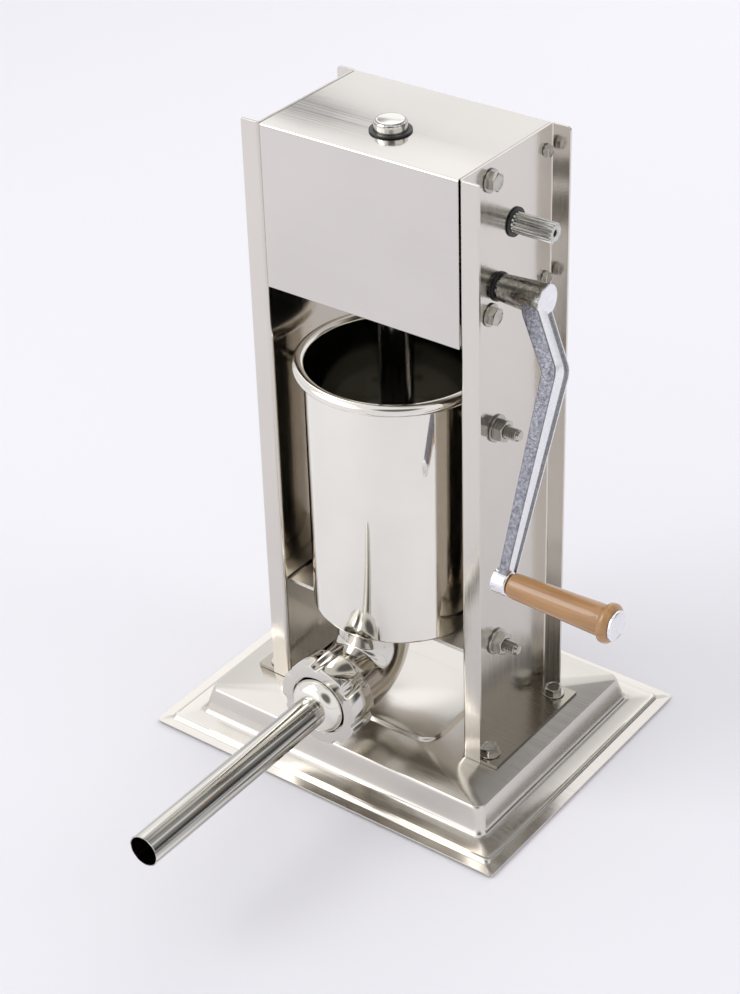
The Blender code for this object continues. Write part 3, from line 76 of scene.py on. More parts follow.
# Fineness of round shapes, and small gaps
FINE_STEPS = 144
ROUND_STEPS = 96
SMALL_STEPS = 48
BEND_STEPS = 8
ROUNDING_STEPS = 5
SMOOTH_ANGLE = math.radians(35)
CAD_SMOOTH_WIDTH = 0.00025
CAD_EDGE_SEGMENTS = 2
CAD_WELD = 0.00001
EDGE_SEGMENTS = 3
TINY = 0.0002
SEAT_GAP = 0.0003

# Base pan: shares of the border's width and of the pan's height, from the brim's edge inward
BASE_BORDER = 0.034
BASE_LIFT = 0.003
BASE_SHEET = 0.0015
BASE_OUTER_CORNER = 0.003
BASE_INNER_CORNER = 0.008
BORDER_SHARES = (
    (0.0, -0.015), (0.006, 0.0), (0.250, 0.004), (0.262, 0.016), (0.272, 0.045),
    (0.284, 0.080), (0.298, 0.102), (0.314, 0.112), (0.330, 0.110), (0.350, 0.101),
    (0.380, 0.100), (0.540, 0.125), (0.700, 0.149), (0.755, 0.163), (0.785, 0.182),
    (0.812, 0.222), (0.834, 0.278), (0.855, 0.358), (0.876, 0.460), (0.899, 0.580),
    (0.921, 0.700), (0.942, 0.810), (0.955, 0.872), (0.967, 0.925), (0.979, 0.968),
    (0.990, 0.992), (1.0, 1.0),
)
TRAY_HALF_WIDTH = 0.062
TRAY_FRONT_Y = -0.006
TRAY_DEPTH = 0.096
TRAY_CORNER = 0.016
TRAY_RINGS = ((0.0, 0.0), (0.0007, 0.0003), (0.0014, 0.0013), (0.0022, 0.0024), (0.003, 0.003))
CORNER_STEPS = 10

# Side panels
PANEL_SHEET = 0.002
PANEL_BEND = 0.0025
PANEL_EDGE_ROUND = 0.0006
# Faces turned inward beyond this share get painted shade
INNER_FACE_SHARE = 0.9
FLANGE_WIDTH = 0.015
FLANGE_CORNER = 0.003
FOOT_PLATE_WIDTH = 0.033
FOOT_PLATE_SHEET = 0.003

# Head
COVER_SHEET = 0.0015
COVER_BEND = 0.0013
COVER_EDGE = 0.0006
COVER_TAB_DROP = 0.027
COVER_TAB_FRONT_Y = 0.024

# Hex heads and nuts: the chamfer's share is of the radius to the flats, the shares of the flat
# top and the dish are of the chamfer's radius, and the hole's share is of its own radius
HEX_SIDES = 6
HEX_HALF_SIDE = math.pi / HEX_SIDES
HEX_STEPS = 8
HEX_CHAMFER_SHARE = 0.93
HEX_CHAMFER_SLOPE = math.radians(28)
HEX_FLAT_SHARE = 0.93
HEX_DISH_SHARE = 0.86
HEX_TOP_DISH = 0.0004
HEX_HOLE_CHAMFER_SHARE = 0.12
LARGE_HEX_RADIUS = 0.0075
SMALL_HEX_RADIUS = 0.005
NUT_HEX_RADIUS = 0.0095

# Threads: each ridge by shares of the pitch and of the depth
THREAD_PITCH = 0.0015
THREAD_DEPTH = 0.0008
THREAD_RIDGE_SHARES = ((0.1, 1.0), (0.45, 0.0), (0.6, 0.0), (0.95, 1.0))
THREAD_TIP_PITCHES = 2
THREAD_TIP_PITCH_SHARE = 0.3
THREAD_TIP_DEPTH_SHARE = 0.5
THREAD_END_DEPTH_SHARE = 1.6

# Washers and shanks: a sink share says how high in its washer a head begins
WASHER_HOLE = 0.002
WASHER_ROUND_SHARE = 0.3
WASHER_EDGE_STEPS = 3
NUT_WASHER_HEIGHT = 0.0016
NUT_SINK_SHARE = 0.8
BOLT_WASHER_HEIGHT = 0.0012
BOLT_SINK_SHARE = 0.5
FOOT_SHANK_RADIUS = 0.003
FOOT_SHANK_RISE = 0.0005
PIN_EDGE = 0.0008

# Rod and bushes, each bush with the way that its flange faces
ROD_RADIUS = 0.0125
BUSH_WAYS = {
    "fast_bush_right": "+X", "slow_bush_right": "+X", "fast_bush_left": "-X",
    "slow_bush_inner": "-X", "fast_bush_inner": "-X", "rod_bush_top": "+Z", "rod_bush_floor": "-Z",
}
BUSH_ROUND = 0.0004
SHAFT_BUSH_FLANGE = 0.0008
ROD_BUSH_FLANGE = 0.0012
BUSH_FLANGE_HEIGHT = 0.0012
ROD_END_ROUND = 0.0034
ROD_END_LENGTH = 0.012
ROD_END_STEPS = 8

# Splined shaft end
SPLINE_TEETH = 16
SPLINE_DEPTH = 0.0015
SPLINE_CHAMFER = 0.0009
SPLINE_START = 0.0016
SPLINE_STEPS = 8
SPLINE_STEEPNESS = 1.9
SPLINE_END_SHARE = 0.89
SHAFT_RADIUS = 0.008
CENTRE_HOLE_RADIUS = 0.0025
CENTRE_HOLE_DEPTH = 0.006
CENTRE_HOLE_CHAMFER = 0.0008

# Crank
HUB_STANDOFF = 0.004
CRANK_RADIUS = 0.205
CRANK_TURN = math.radians(-25)
HUB_ROOT_RADIUS = 0.0105
HUB_END_RADIUS = 0.0130
HUB_LENGTH = 0.0378
HUB_EDGE = 0.0012
HUB_ROOT_EDGE_SHARE = 0.6
HUB_EDGE_STEPS = 6
HUB_BORE = 0.0084
HUB_BORE_DEPTH = 0.0338
ARM_OFFSET = 0.027
ARM_SET_BACK = 0.0008
ARM_NECK = 0.008
ARM_KNEE = 0.046
ARM_BEND = 0.012
ARM_THICKNESSES = (0.014, 0.012, 0.008)
ARM_TOP_WIDTH = 0.022
ARM_END_WIDTH = 0.014
ARM_EDGE = 0.0014
ARM_EDGE_STEPS = 4
ARM_OUTER_EDGE_SHARE = 0.8
ARM_GROOVE_START_SHARE = 0.58
ARM_GROOVE_END_SHARE = 0.90
ARM_GROOVE_DEPTH = 0.0012
ARM_GROOVE_EDGE_SHARE = 0.4
ARM_SECTION_LENGTH = CRANK_RADIUS / 14
OUTER_FACE_SHARE = 0.35
BOSS_RADIUS = 0.0095
BOSS_LENGTH = 0.013
BOSS_ROUND = 0.0022
BOSS_EDGE_STEPS = 8

# Grip: shares of its length and of a unit radius. The axle's head: shares of its radius and
# height, and each corner's rounding
GRIP_PROFILE_SHARES = (
    (0.0, 0.60), (0.004, 0.74), (0.014, 0.83), (0.030, 0.875), (0.055, 0.89), (0.30, 0.955),
    (0.60, 1.03), (0.80, 1.085), (0.885, 1.11), (0.897, 1.10), (0.903, 1.12), (0.912, 1.26),
    (0.925, 1.36), (0.945, 1.40), (0.965, 1.395), (0.982, 1.34), (0.994, 1.24), (1.0, 1.10),
)
GRIP_UNIT_RADIUS = 0.0108
GRIP_BORE = 0.0043
AXLE_RADIUS = 0.0038
AXLE_END_ROUND = 0.0006
AXLE_EDGE_STEPS = 4
AXLE_HEAD_RADIUS = 0.0115
AXLE_HEAD_HEIGHT = 0.003
AXLE_HEAD_CORNERS = (
    (1.0, 0.0, 0.0004), (1.0, 0.75, 0.0008), (0.84, 1.0, 0.001), (0.80, 0.8, 0.0004), (0.0, 0.8),
)

# Cylinder
BORE_RADIUS = 0.0702
CAN_WALL = 0.0012
CAN_FLOOR = 0.0015
CAN_FOOT_ROUND = 0.0025
CAN_FOOT_STEPS = 6
BEAD_RADIUS = 0.0048
BEAD_CURL = math.radians(60)
BEAD_STEPS = 22

# Outlet, nozzle and ring nut
OUTLET_RADIUS = 0.0295
OUTLET_WALL = 0.002
OUTLET_BEND = 0.0305
OUTLET_BEND_STEPS = 36
OUTLET_SET_FORWARD = 0.038
COLLAR_RADIUS = 0.0305
COLLAR_LENGTH = 0.019
COLLAR_REAR_ROUND = 0.0008
COLLAR_FRONT_ROUND = 0.0006
COLLAR_EDGE_STEPS = 4
NOZZLE_RADIUS = 0.013
NOZZLE_WALL = 0.0009
NOZZLE_DOME_RADIUS = 0.0243
NOZZLE_DOME_HEIGHT = 0.015
NOZZLE_RIM_HEIGHT = 0.003
DOME_STEPS = 16
NUT_FRONT = 0.005
NUT_HOLE = 0.0250
NUT_CHAMFER = 0.0012
NUT_CHAMFER_STEP = NUT_CHAMFER / 3
FLUTES = 7
FLUTE_TURN = math.radians(-11.4)
FLUTE_RADIUS = 0.006
FLUTE_DEPTH = 0.003
NUT_STEPS_PER_FLUTE = 24

# Studio floor
FLOOR_HALF = 30.0
FLOOR_DROP = 0.0002
FLOOR_COLOUR = (0.885, 0.875, 0.915)
FLOOR_ROUGHNESS = 0.9
FLOOR_TONE_SCALE = 0.8
FLOOR_TONE_SHADES = ((0.3, 1.0), (0.7, 1.01))

# Bright and dark areas of the studio that metal shows, each over those before it: azimuth and
# height of the middle, half width and softness in degrees, and the grey
STUDIO_PATCHES = (
    (156.0, 62.0, 25.0, 4.0, 0.30),
    (168.0, 51.0, 2.5, 1.5, 1.05),
    (150.0, 43.0, 2.5, 1.5, 1.05),
    (128.0, 5.0, 17.0, 9.0, 0.10),
    (130.0, 24.0, 9.0, 5.0, 0.26),
    (37.0, 38.0, 20.0, 8.0, 0.16),
    (-34.0, 17.0, 27.0, 8.0, 1.62),
    (-120.0, 56.0, 17.0, 5.0, 1.28),
    (-141.0, 30.0, 14.0, 4.0, 1.42),
    (-149.8, 13.9, 12.8, 0.5, 0.60),
    (-149.8, 13.9, 12.0, 0.5, 1.18),
    (-140.3, 24.9, 1.4, 1.6, 0.42),
)
LEAST_PATCH_CORE = 0.5
STUDIO_GREY = 0.92
STUDIO_TINT = (0.985, 0.985, 1.0, 1.0)
SKY_STRENGTH = 0.74

# Lamps: name, place, size, power, and whether metal shows it
LAMPS = (
    ("key", (-1.6, -1.5, 2.2), 1.6, 24.0, True),
    ("side", (2.2, 0.6, 1.6), 1.4, 8.0, False),
    ("back", (-0.4, 2.4, 2.0), 1.8, 15.0, False),
)
LAMP_TARGET = (0.0, 0.0, 0.25)

# How noise shapes a look: scales are per metre, shades are (place on the noise, share of the
# colour), and spreads lie about the look's own roughness
NOISE_LOW = 0.3
NOISE_HIGH = 0.7
NEW_STOP_PLACE = 0.5
CLOUD_SCALE = 9.0
CLOUD_SHADES = ((0.25, 0.955), (0.75, 1.03))
CLOUD_SPREAD = (-0.02, 0.025)
STREAK_SHADES = ((0.30, 0.96), (0.70, 1.0))
STREAK_SHARE = 0.8
STREAK_SPREAD = (-0.05, 0.06)
SHEET_WAVE_SCALE = 14.0
HAZE_SCALE = 22.0
HAZE_SHADES = ((0.3, 0.96), (0.7, 1.0))
HAZE_ROUGHNESS_FACTOR = 1.8
POLISH_WAVE_SCALE = 11.0
POLISH_WAVE_STRETCH = (1, 1, 0.35)
POLISH_WAVE = 0.0001
POLISH_DEPTH = 0.000004
# Painted reflection: dark and bright stripes along the nozzle tube
REFLECTION_STRIPE_SHARE = 0.6
REFLECTION_STRIPE_SHADES = ((0.36, 0.24), (0.52, 0.66), (0.62, 1.0))
DRAWN_WAVE = 0.00008
DRAWN_DEPTH = 0.000006
MARK_SCALE = 900.0
MARK_SPREAD = (-0.06, 0.10)
MARK_DEPTH = 0.00002
STAIN_SCALE = 130.0
STAIN_SHADES = ((0.28, 0.72), (0.62, 1.0))
CAST_PIT_SCALE = 750.0
CAST_GRAIN_SCALE = 900.0
CAST_SHADE_SCALE = 420.0
CAST_SHADE_PLACES = (0.36, 0.62)
CAST_SPREAD = (-0.08, 0.12)
SPECK_SCALE = 400.0
SPECK_PLACES = (0.3, 0.7)
SPECK_SPREAD = (-0.05, 0.08)
SPECK_DEPTH = 0.00003

# Varnished wood of the grip, with its grain along X
WOOD_COAT_ROUGHNESS = 0.09
WOOD_GRAIN = (18.0, 520.0, 520.0)
WOOD_BAND = (9.0, 90.0, 90.0)
WOOD_BODY = ((0.25, (0.36, 0.175, 0.052)), (0.75, (0.50, 0.262, 0.090)))
WOOD_LINES = ((0.30, (0.72, 0.64, 0.54)), (0.58, (1.0, 1.0, 1.0)))
WOOD_LINE_SHARE = 0.75
WOOD_ROUGHNESS = (0.34, 0.50)
WOOD_DEPTH = 0.00004

# Colours, and grain scales: small along the brushing and large across it
WHITE = (1.0, 1.0, 1.0)
WARM_STEEL = (0.71, 0.677, 0.625)
PALE_STEEL = (0.675, 0.65, 0.61)
# Painted shade: a darker copy of the panel steel, for the panels' inner faces
SHADED_INNER_STEEL = (0.50, 0.455, 0.395)
# Painted shade: a darker copy of the panel steel, for the foot plates
SHADED_FOOT_STEEL = (0.40, 0.37, 0.32)
MIRROR_STEEL = (0.85, 0.824, 0.762)
OUTLET_STEEL = (0.69, 0.665, 0.62)
# Painted shade: the rack rod's steel darkened to look black inside the cylinder
SHADED_ROD_STEEL = (0.42, 0.41, 0.40)
UP_GRAIN = (1100.0, 1100.0, 5.0)
SIDE_GRAIN = (5.0, 1100.0, 1100.0)
DEEP_GRAIN = (1100.0, 5.0, 1100.0)
FINE_GRAIN = (300.0, 300.0, 300.0)

# Sheet metals: colour, roughness, grain, depth of the grain, height of the waves
SHEET_LOOKS = {
    "panel": (WARM_STEEL, 0.17, UP_GRAIN, 0.000005, 0.00012),
    # Painted shade on the panels' inner faces
    "panel_inner": (SHADED_INNER_STEEL, 0.13, UP_GRAIN, 0.000004, 0.00012),
    "cover": (PALE_STEEL, 0.13, SIDE_GRAIN, 0.0000015, 0.0002),
    # Painted shade: the foot plates darker than the panel steel
    "foot": (SHADED_FOOT_STEEL, 0.20, SIDE_GRAIN, 0.000007, 0.00012),
    "pan": (WARM_STEEL, 0.20, SIDE_GRAIN, 0.000007, 0.00012),
    "inner": (WARM_STEEL, 0.33, DEEP_GRAIN, 0.000012, 0.00012),
}
# Polished metals, and the drawn tube whose stripes are painted reflection: colour, roughness, grain
POLISHED_LOOKS = {
    "can": (MIRROR_STEEL, 0.045, (400.0, 400.0, 6.0)),
    "mirror": (MIRROR_STEEL, 0.05, FINE_GRAIN),
    "outlet": (OUTLET_STEEL, 0.07, FINE_GRAIN),
    # The rod's darker colour is painted shade
    "rod": (SHADED_ROD_STEEL, 0.07, (500.0, 500.0, 6.0)),
}
STRIPED_TUBE_LOOKS = {"tube": (MIRROR_STEEL, 0.09, (500.0, 4.0, 500.0))}
# Machined metals: colour, roughness
MACHINED_LOOKS = {
    "bolt": ((0.54, 0.52, 0.475), 0.13),
    "shaft": ((0.66, 0.65, 0.62), 0.17),
    "gear": ((0.46, 0.45, 0.44), 0.32),
}
# Cast metals: colour, darker colour, roughness, depth of the pits
CAST_LOOKS = {
    "cast_bright": ((0.92, 0.92, 0.94), (0.80, 0.80, 0.83), 0.16, 0.00001),
    # Painted shade, for the crank's groove and its front edge
    "cast_groove": ((0.34, 0.35, 0.36), (0.20, 0.20, 0.21), 0.20, 0.00001),
    "cast_hub": ((0.50, 0.48, 0.44), (0.20, 0.19, 0.17), 0.14, 0.00001),
    "cast_rough": ((0.37, 0.37, 0.41), (0.13, 0.13, 0.16), 0.40, 0.00018),
}
# Plastics and rubber: darker colour, lighter colour, roughness
PLASTIC_LOOKS = {
    "black": ((0.010, 0.010, 0.010), (0.022, 0.022, 0.022), 0.34),
    "white": ((0.62, 0.62, 0.60), (0.74, 0.74, 0.72), 0.36),
    "rubber": ((0.016, 0.016, 0.017), (0.034, 0.034, 0.036), 0.62),
}

# Mix nodes: data type, sockets of the factor and the two values, and the result's socket
MIX_NUMBER = ("FLOAT", (0, 2, 3), 0)
MIX_COLOUR = ("RGBA", (0, 6, 7), 2)

# Where things are, from the frame's own boxes
CAN_LOW, CAN_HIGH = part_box("cylinder")
TO_WORLD = Vector(((CAN_LOW.x + CAN_HIGH.x) / 2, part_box("side_panel_right")[0].y, 0))


def machine_box(name):
    """A node's low corner, high corner and middle, in machine coordinates."""
    low, high = (corner - TO_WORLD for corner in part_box(name))
    return low, high, (low + high) / 2


PANEL_LOW, PANEL_HIGH, _ = machine_box("side_panel_right")
COVER_LOW, COVER_HIGH, _ = machine_box("head_cover")
NOZZLE_LOW, NOZZLE_HIGH, NOZZLE_MIDDLE = machine_box("nozzle")
OUTLET_LOW, OUTLET_HIGH, _ = machine_box("outlet_elbow")
HUB_MIDDLE = machine_box("slow_bush_right")[2]
AXIS_Y = machine_box("cylinder")[2].y
PANEL_DEPTH = PANEL_HIGH.y - PANEL_LOW.y
PANEL_EDGE = PANEL_HIGH.x - (FOOT_PLATE_WIDTH - PANEL_SHEET - FLANGE_WIDTH)
PANEL_OUT = PANEL_EDGE - FLANGE_WIDTH
PANEL_IN = PANEL_OUT - PANEL_SHEET
CAN_RADIUS = BORE_RADIUS + CAN_WALL
HUB_Y = HUB_MIDDLE.y
HUB_Z = HUB_MIDDLE.z
OUTLET_Z = NOZZLE_MIDDLE.z
OUTLET_Y = AXIS_Y - OUTLET_SET_FORWARD

# Directions that a turned shape's own +Z can lie along
QUARTER = math.pi / 2
FULL = 2 * math.pi
ALONG = {
    "+Z": Matrix.Identity(4),
    "-Z": Matrix.Rotation(math.pi, 4, "X"),
    "+X": Matrix.Rotation(QUARTER, 4, "Y"),
    "-X": Matrix.Rotation(-QUARTER, 4, "Y"),
    "-Y": Matrix.Rotation(QUARTER, 4, "X"),
}


# Node helpers

def feed(tree, target, value):
    """Link an input to another node's output, or give it a value of its own."""
    if isinstance(value, bpy.types.NodeSocket):
        tree.links.new(value, target)
    else:
        target.default_value = value


def mixed(tree, sort, factor, first, second, blend="MIX"):
    """A mix of two numbers or two colours."""
    data_type, sockets, result = sort
    made = tree.nodes.new("ShaderNodeMix")
    made.data_type = data_type
    made.blend_type = blend
    for place, value in zip(sockets, (factor, first, second)):
        feed(tree, made.inputs[place], value)
    return made.outputs[result]


def mapped(tree, source, start, end, low, high):
    """The source's range from start to end, turned into the range from low to high."""
    made = tree.nodes.new("ShaderNodeMapRange")
    names = ("Value", "From Min", "From Max", "To Min", "To Max")
    for name, value in zip(names, (source, start, end, low, high)):
        feed(tree, made.inputs[name], value)
    return made


class Look:
    """A node material under construction, with short ways to add and link nodes."""

    def __init__(self, name):
        self.material = bpy.data.materials.new(name)
        self.material.use_nodes = True
        self.tree = self.material.node_tree
        self.shader = self.tree.nodes["Principled BSDF"]
        self.place = self.tree.nodes.new("ShaderNodeTexCoord").outputs["Object"]

    def set(self, **values):
        for name, value in values.items():
            self.shader.inputs[name.replace("_", " ").title()].default_value = value
        return self

    def node(self, kind, **inputs):
        made = self.tree.nodes.new(kind)
        for name, value in inputs.items():
            feed(self.tree, made.inputs[name], value)
        return made

    def stretched(self, scale):
        return self.node("ShaderNodeMapping", Vector=self.place, Scale=scale).outputs["Vector"]

    def noise(self, scale, stretch=(1, 1, 1), detail=3.0, roughness=0.5, distortion=0.0):
        made = self.node("ShaderNodeTexNoise", Vector=self.stretched(stretch), Scale=scale,
                         Detail=detail, Roughness=roughness, Distortion=distortion)
        return made.outputs["Fac"]

    def ramp(self, source, stops):
        made = self.node("ShaderNodeValToRGB", Fac=source)
        elements = made.color_ramp.elements
        stops = list(stops)
        while len(elements) < len(stops):
            elements.new(NEW_STOP_PLACE)
        for element, (place, colour) in zip(elements, stops):
            element.position = place
            element.color = (*colour, 1.0)
        return made.outputs["Color"]

    def shades(self, source, colour, stops):
        """A ramp through shades of one colour, from (place, share of the colour) pairs."""
        return self.ramp(source, [(place, [min(1.0, part * share) for part in colour])
                                  for place, share in stops])

    def span(self, source, low, high):
        return mapped(self.tree, source, NOISE_LOW, NOISE_HIGH, low, high).outputs["Result"]

    def spread(self, source, middle, ends):
        return self.span(source, middle + ends[0], middle + ends[1])

    def bump(self, source, height, below=None):
        made = self.node("ShaderNodeBump", Height=source, Strength=1.0, Distance=height)
        if below is not None:
            self.tree.links.new(below, made.inputs["Normal"])
        return made.outputs["Normal"]

    def finish(self, colour, rough, height, depth, below=None):
        """Give the shader its colour, roughness and normal."""
        for name, source in (("Base Color", colour), ("Roughness", rough),
                             ("Normal", self.bump(height, depth, below))):
            self.tree.links.new(source, self.shader.inputs[name])
        return self.material


def sheet_look(name, colour, rough, grain, depth, wave):
    """Brushed sheet steel."""
    look = Look(name).set(metallic=1.0)
    fine = look.noise(1.0, grain, detail=4.0, roughness=0.6)
    cloud = look.noise(CLOUD_SCALE)
    tint = look.shades(cloud, colour, CLOUD_SHADES)
    streak = look.shades(fine, WHITE, STREAK_SHADES)
    total = look.node("ShaderNodeMath")
    total.operation = "ADD"
    feed(look.tree, total.inputs[0], look.spread(fine, 0, STREAK_SPREAD))
    feed(look.tree, total.inputs[1], look.spread(cloud, rough, CLOUD_SPREAD))
    large = look.bump(look.noise(SHEET_WAVE_SCALE, detail=1.0), wave)
    return look.finish(mixed(look.tree, MIX_COLOUR, STREAK_SHARE, tint, streak, "MULTIPLY"),
                       total.outputs[0], fine, depth, large)


def polished_look(name, colour, rough, grain):
    """Mirror steel with faint drawing lines, haze and a slight waviness."""
    look = Look(name).set(metallic=1.0)
    haze = look.noise(HAZE_SCALE, detail=4.0, roughness=0.65)
    large = look.bump(look.noise(POLISH_WAVE_SCALE, POLISH_WAVE_STRETCH, detail=0.0), POLISH_WAVE)
    return look.finish(look.shades(haze, colour, HAZE_SHADES),
                       look.span(haze, rough, rough * HAZE_ROUGHNESS_FACTOR),
                       look.noise(1.0, grain), POLISH_DEPTH, large)


def reflection_stripe_look(name, colour, rough, grain):
    """Polished tube with long dark and bright stripes painted along it as a painted reflection."""
    look = Look(name).set(metallic=1.0)
    fine = look.noise(1.0, grain)
    # The stripes' colour is painted reflection, not marks in the metal
    lines = look.noise(1.0, [scale * REFLECTION_STRIPE_SHARE for scale in grain], roughness=0.7)
    large = look.bump(look.noise(POLISH_WAVE_SCALE, detail=0.0), DRAWN_WAVE)
    return look.finish(look.shades(lines, colour, REFLECTION_STRIPE_SHADES),
                       look.span(fine, rough, rough * HAZE_ROUGHNESS_FACTOR),
                       fine, DRAWN_DEPTH, large)


def machined_look(name, colour, rough):
    """Turned or milled steel with small tool marks, and darker stain in patches."""
    look = Look(name).set(metallic=1.0)
    marks = look.noise(MARK_SCALE, roughness=0.6)
    stain = look.noise(STAIN_SCALE, detail=4.0, roughness=0.6)
    return look.finish(look.shades(stain, colour, STAIN_SHADES),
                       look.spread(marks, rough, MARK_SPREAD), marks, MARK_DEPTH)


def cast_look(name, colour, dark, rough, depth):
    """Rough cast and plated metal with pits, or its polished faces where the depth is small."""
    look = Look(name).set(metallic=1.0)
    place = look.stretched((1, 1, 1))
    cells = look.node("ShaderNodeTexVoronoi", Vector=place, Scale=CAST_PIT_SCALE)
    grains = look.noise(CAST_GRAIN_SCALE, detail=5.0, roughness=0.7)
    shade = look.noise(CAST_SHADE_SCALE, detail=5.0, roughness=0.75)
    pits = look.bump(cells.outputs["Distance"], depth)
    return look.finish(look.ramp(shade, zip(CAST_SHADE_PLACES, (dark, colour))),
                       look.spread(grains, rough, CAST_SPREAD), grains, depth, pits)


def plastic_look(name, dark, light, rough):
    look = Look(name)
    speck = look.noise(SPECK_SCALE, detail=4.0, roughness=0.6)
    return look.finish(look.ramp(speck, zip(SPECK_PLACES, (dark, light))),
                       look.spread(speck, rough, SPECK_SPREAD), speck, SPECK_DEPTH)


def wood_look(name):
    """Varnished light hardwood under a clear coat."""
    look = Look(name).set(metallic=0.0, coat_weight=1.0, coat_roughness=WOOD_COAT_ROUGHNESS)
    grain = look.noise(1.0, WOOD_GRAIN, detail=6.0, roughness=0.62, distortion=0.6)
    band = look.noise(1.0, WOOD_BAND, detail=2.0, distortion=0.3)
    body = look.ramp(band, WOOD_BODY)
    lines = look.ramp(grain, WOOD_LINES)
    return look.finish(mixed(look.tree, MIX_COLOUR, WOOD_LINE_SHARE, body, lines, "MULTIPLY"),
                       look.span(grain, *WOOD_ROUGHNESS), grain, WOOD_DEPTH)


LOOKS = {"wood": wood_look("grip_wood")}
for make_look, ending, table in (
    (sheet_look, "_steel", SHEET_LOOKS), (polished_look, "_steel", POLISHED_LOOKS),
    (reflection_stripe_look, "_steel", STRIPED_TUBE_LOOKS), (machined_look, "_steel", MACHINED_LOOKS),
    (cast_look, "", CAST_LOOKS), (plastic_look, "_plastic", PLASTIC_LOOKS),
):
    for key, values in table.items():
        LOOKS[key] = make_look(key + ending, *values)


# Mesh helpers

def soften(obj, width, segments):
    """Round the sharp edges of an object as it is shown."""
    bevel = obj.modifiers.new("edge", "BEVEL")
    bevel.width = width
    bevel.segments = segments
    bevel.limit_method = "ANGLE"
    bevel.angle_limit = SMOOTH_ANGLE
    bevel.harden_normals = True


def add_piece(name, meshes, body, nodes=(), edge=None):
    """One shown piece from (bmesh, look) pairs: joined, moved to the world, and set to ride.
    A mesh with marked faces has a look for each mark."""
    whole = bpy.data.meshes.new(name)
    joined = bmesh.new()
    looks = []
    for bm, names in meshes:
        if isinstance(names, str):
            names = (names,)
        for look in names:
            if look not in looks:
                looks.append(look)
        for face in bm.faces:
            face.material_index = looks.index(names[face.material_index])
        part = bpy.data.meshes.new(name + "_part")
        bm.to_mesh(part)
        bm.free()
        joined.from_mesh(part)
        bpy.data.meshes.remove(part)
    bmesh.ops.translate(joined, vec=TO_WORLD, verts=joined.verts)
    joined.to_mesh(whole)
    joined.free()
    for look in looks:
        whole.materials.append(LOOKS[look])
    whole.shade_smooth()
    whole.set_sharp_from_angle(angle=SMOOTH_ANGLE)
    obj = bpy.data.objects.new(name, whole)
    bpy.context.scene.collection.objects.link(obj)
    if edge:
        soften(obj, edge, EDGE_SEGMENTS)
    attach(obj, body)
    if nodes:
        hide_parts(*nodes)
    return obj


def placed(bm, start, along):
    bmesh.ops.recalc_face_normals(bm, faces=bm.faces)
    bmesh.ops.transform(bm, matrix=Matrix.Translation(start) @ ALONG[along], verts=bm.verts)
    return bm


def ring_faces(bm, loops, closed):
    """Faces between rings of vertices; a ring of one vertex is a pole."""
    pairs = list(zip(loops, loops[1:]))
    if closed:
        pairs.append((loops[-1], loops[0]))
    for lower, upper in pairs:
        count = max(len(lower), len(upper))
        for index in range(count):
            after = (index + 1) % count
            corners = []
            for loop, place in ((lower, index), (lower, after), (upper, after), (upper, index)):
                vertex = loop[place % len(loop)]
                if vertex not in corners:
                    corners.append(vertex)
            if len(corners) > 2:
                bm.faces.new(corners)


def ring(steps, make):
    """Points around +Z, with the radius and height that make gives for each angle."""
    points = []
    for step in range(steps):
        angle = FULL * step / steps
        radius, height = make(angle)
        points.append((radius * math.cos(angle), radius * math.sin(angle), height))
    return points


def circle(steps, radius, height):
    return ring(steps, lambda angle: (radius, height))


def revolved(profile, start, along, steps=ROUND_STEPS, closed=False):
    """Turn a profile of (radius, height) about a direction."""
    bm = bmesh.new()
    loops = []
    for radius, height in profile:
        points = [(0, 0, height)] if radius < CAD_WELD else circle(steps, radius, height)
        loops.append([bm.verts.new(point) for point in points])
    ring_faces(bm, loops, closed)
    return placed(bm, start, along)


def lofted(sections, closed=False):
    """A skin through outlines of equal count: a closed ring of them, or with a face at each end."""
    bm = bmesh.new()
    loops = [[bm.verts.new(point) for point in section] for section in sections]
    ring_faces(bm, loops, closed)
    if not closed:
        bm.faces.new(loops[0])
        bm.faces.new(loops[-1])
    bmesh.ops.recalc_face_normals(bm, faces=bm.faces)
    return bm


def way_at(path, index):
    """A path's direction at one of its points, from the points beside it."""
    before = path[max(0, index - 1)]
    after = path[min(len(path) - 1, index + 1)]
    return (Vector(after) - Vector(before)).normalized()


def arc(centre, radius, start, end, steps):
    points = []
    for step in range(steps + 1):
        angle = start + (end - start) * step / steps
        points.append((centre[0] + radius * math.cos(angle), centre[1] + radius * math.sin(angle)))
    return points


def rounded(profile, steps=ROUNDING_STEPS):
    """A profile with an arc in place of each inner corner that names a radius as its third value."""
    result = [tuple(profile[0][:2])]
    for before, corner, after in zip(profile, profile[1:], profile[2:]):
        here = Vector(corner[:2])
        way_in = Vector(before[:2]) - here
        way_out = Vector(after[:2]) - here
        bend = way_in.angle(way_out)
        size = corner[2] if len(corner) > 2 else 0
        reach = min(size / math.tan(bend / 2), way_in.length / 2, way_out.length / 2)
        if reach < CAD_WELD or abs(bend - math.pi) < CAD_WELD:
            result.append(tuple(here))
            continue
        first = here + way_in.normalized() * reach
        last = here + way_out.normalized() * reach
        for step in range(steps + 1):
            share = step / steps
            point = first * (1 - share) ** 2 + here * 2 * share * (1 - share) + last * share ** 2
            result.append(tuple(point))
    result.append(tuple(profile[-1][:2]))
    return result


def rounded_rectangle(half_x, half_y, middle_y, radius):
    points = []
    for side_x, side_y, quarter in ((1, 1, 0), (-1, 1, 1), (-1, -1, 2), (1, -1, 3)):
        centre = (side_x * (half_x - radius), middle_y + side_y * (half_y - radius))
        points += arc(centre, radius, quarter * QUARTER, (quarter + 1) * QUARTER, CORNER_STEPS)
    return points


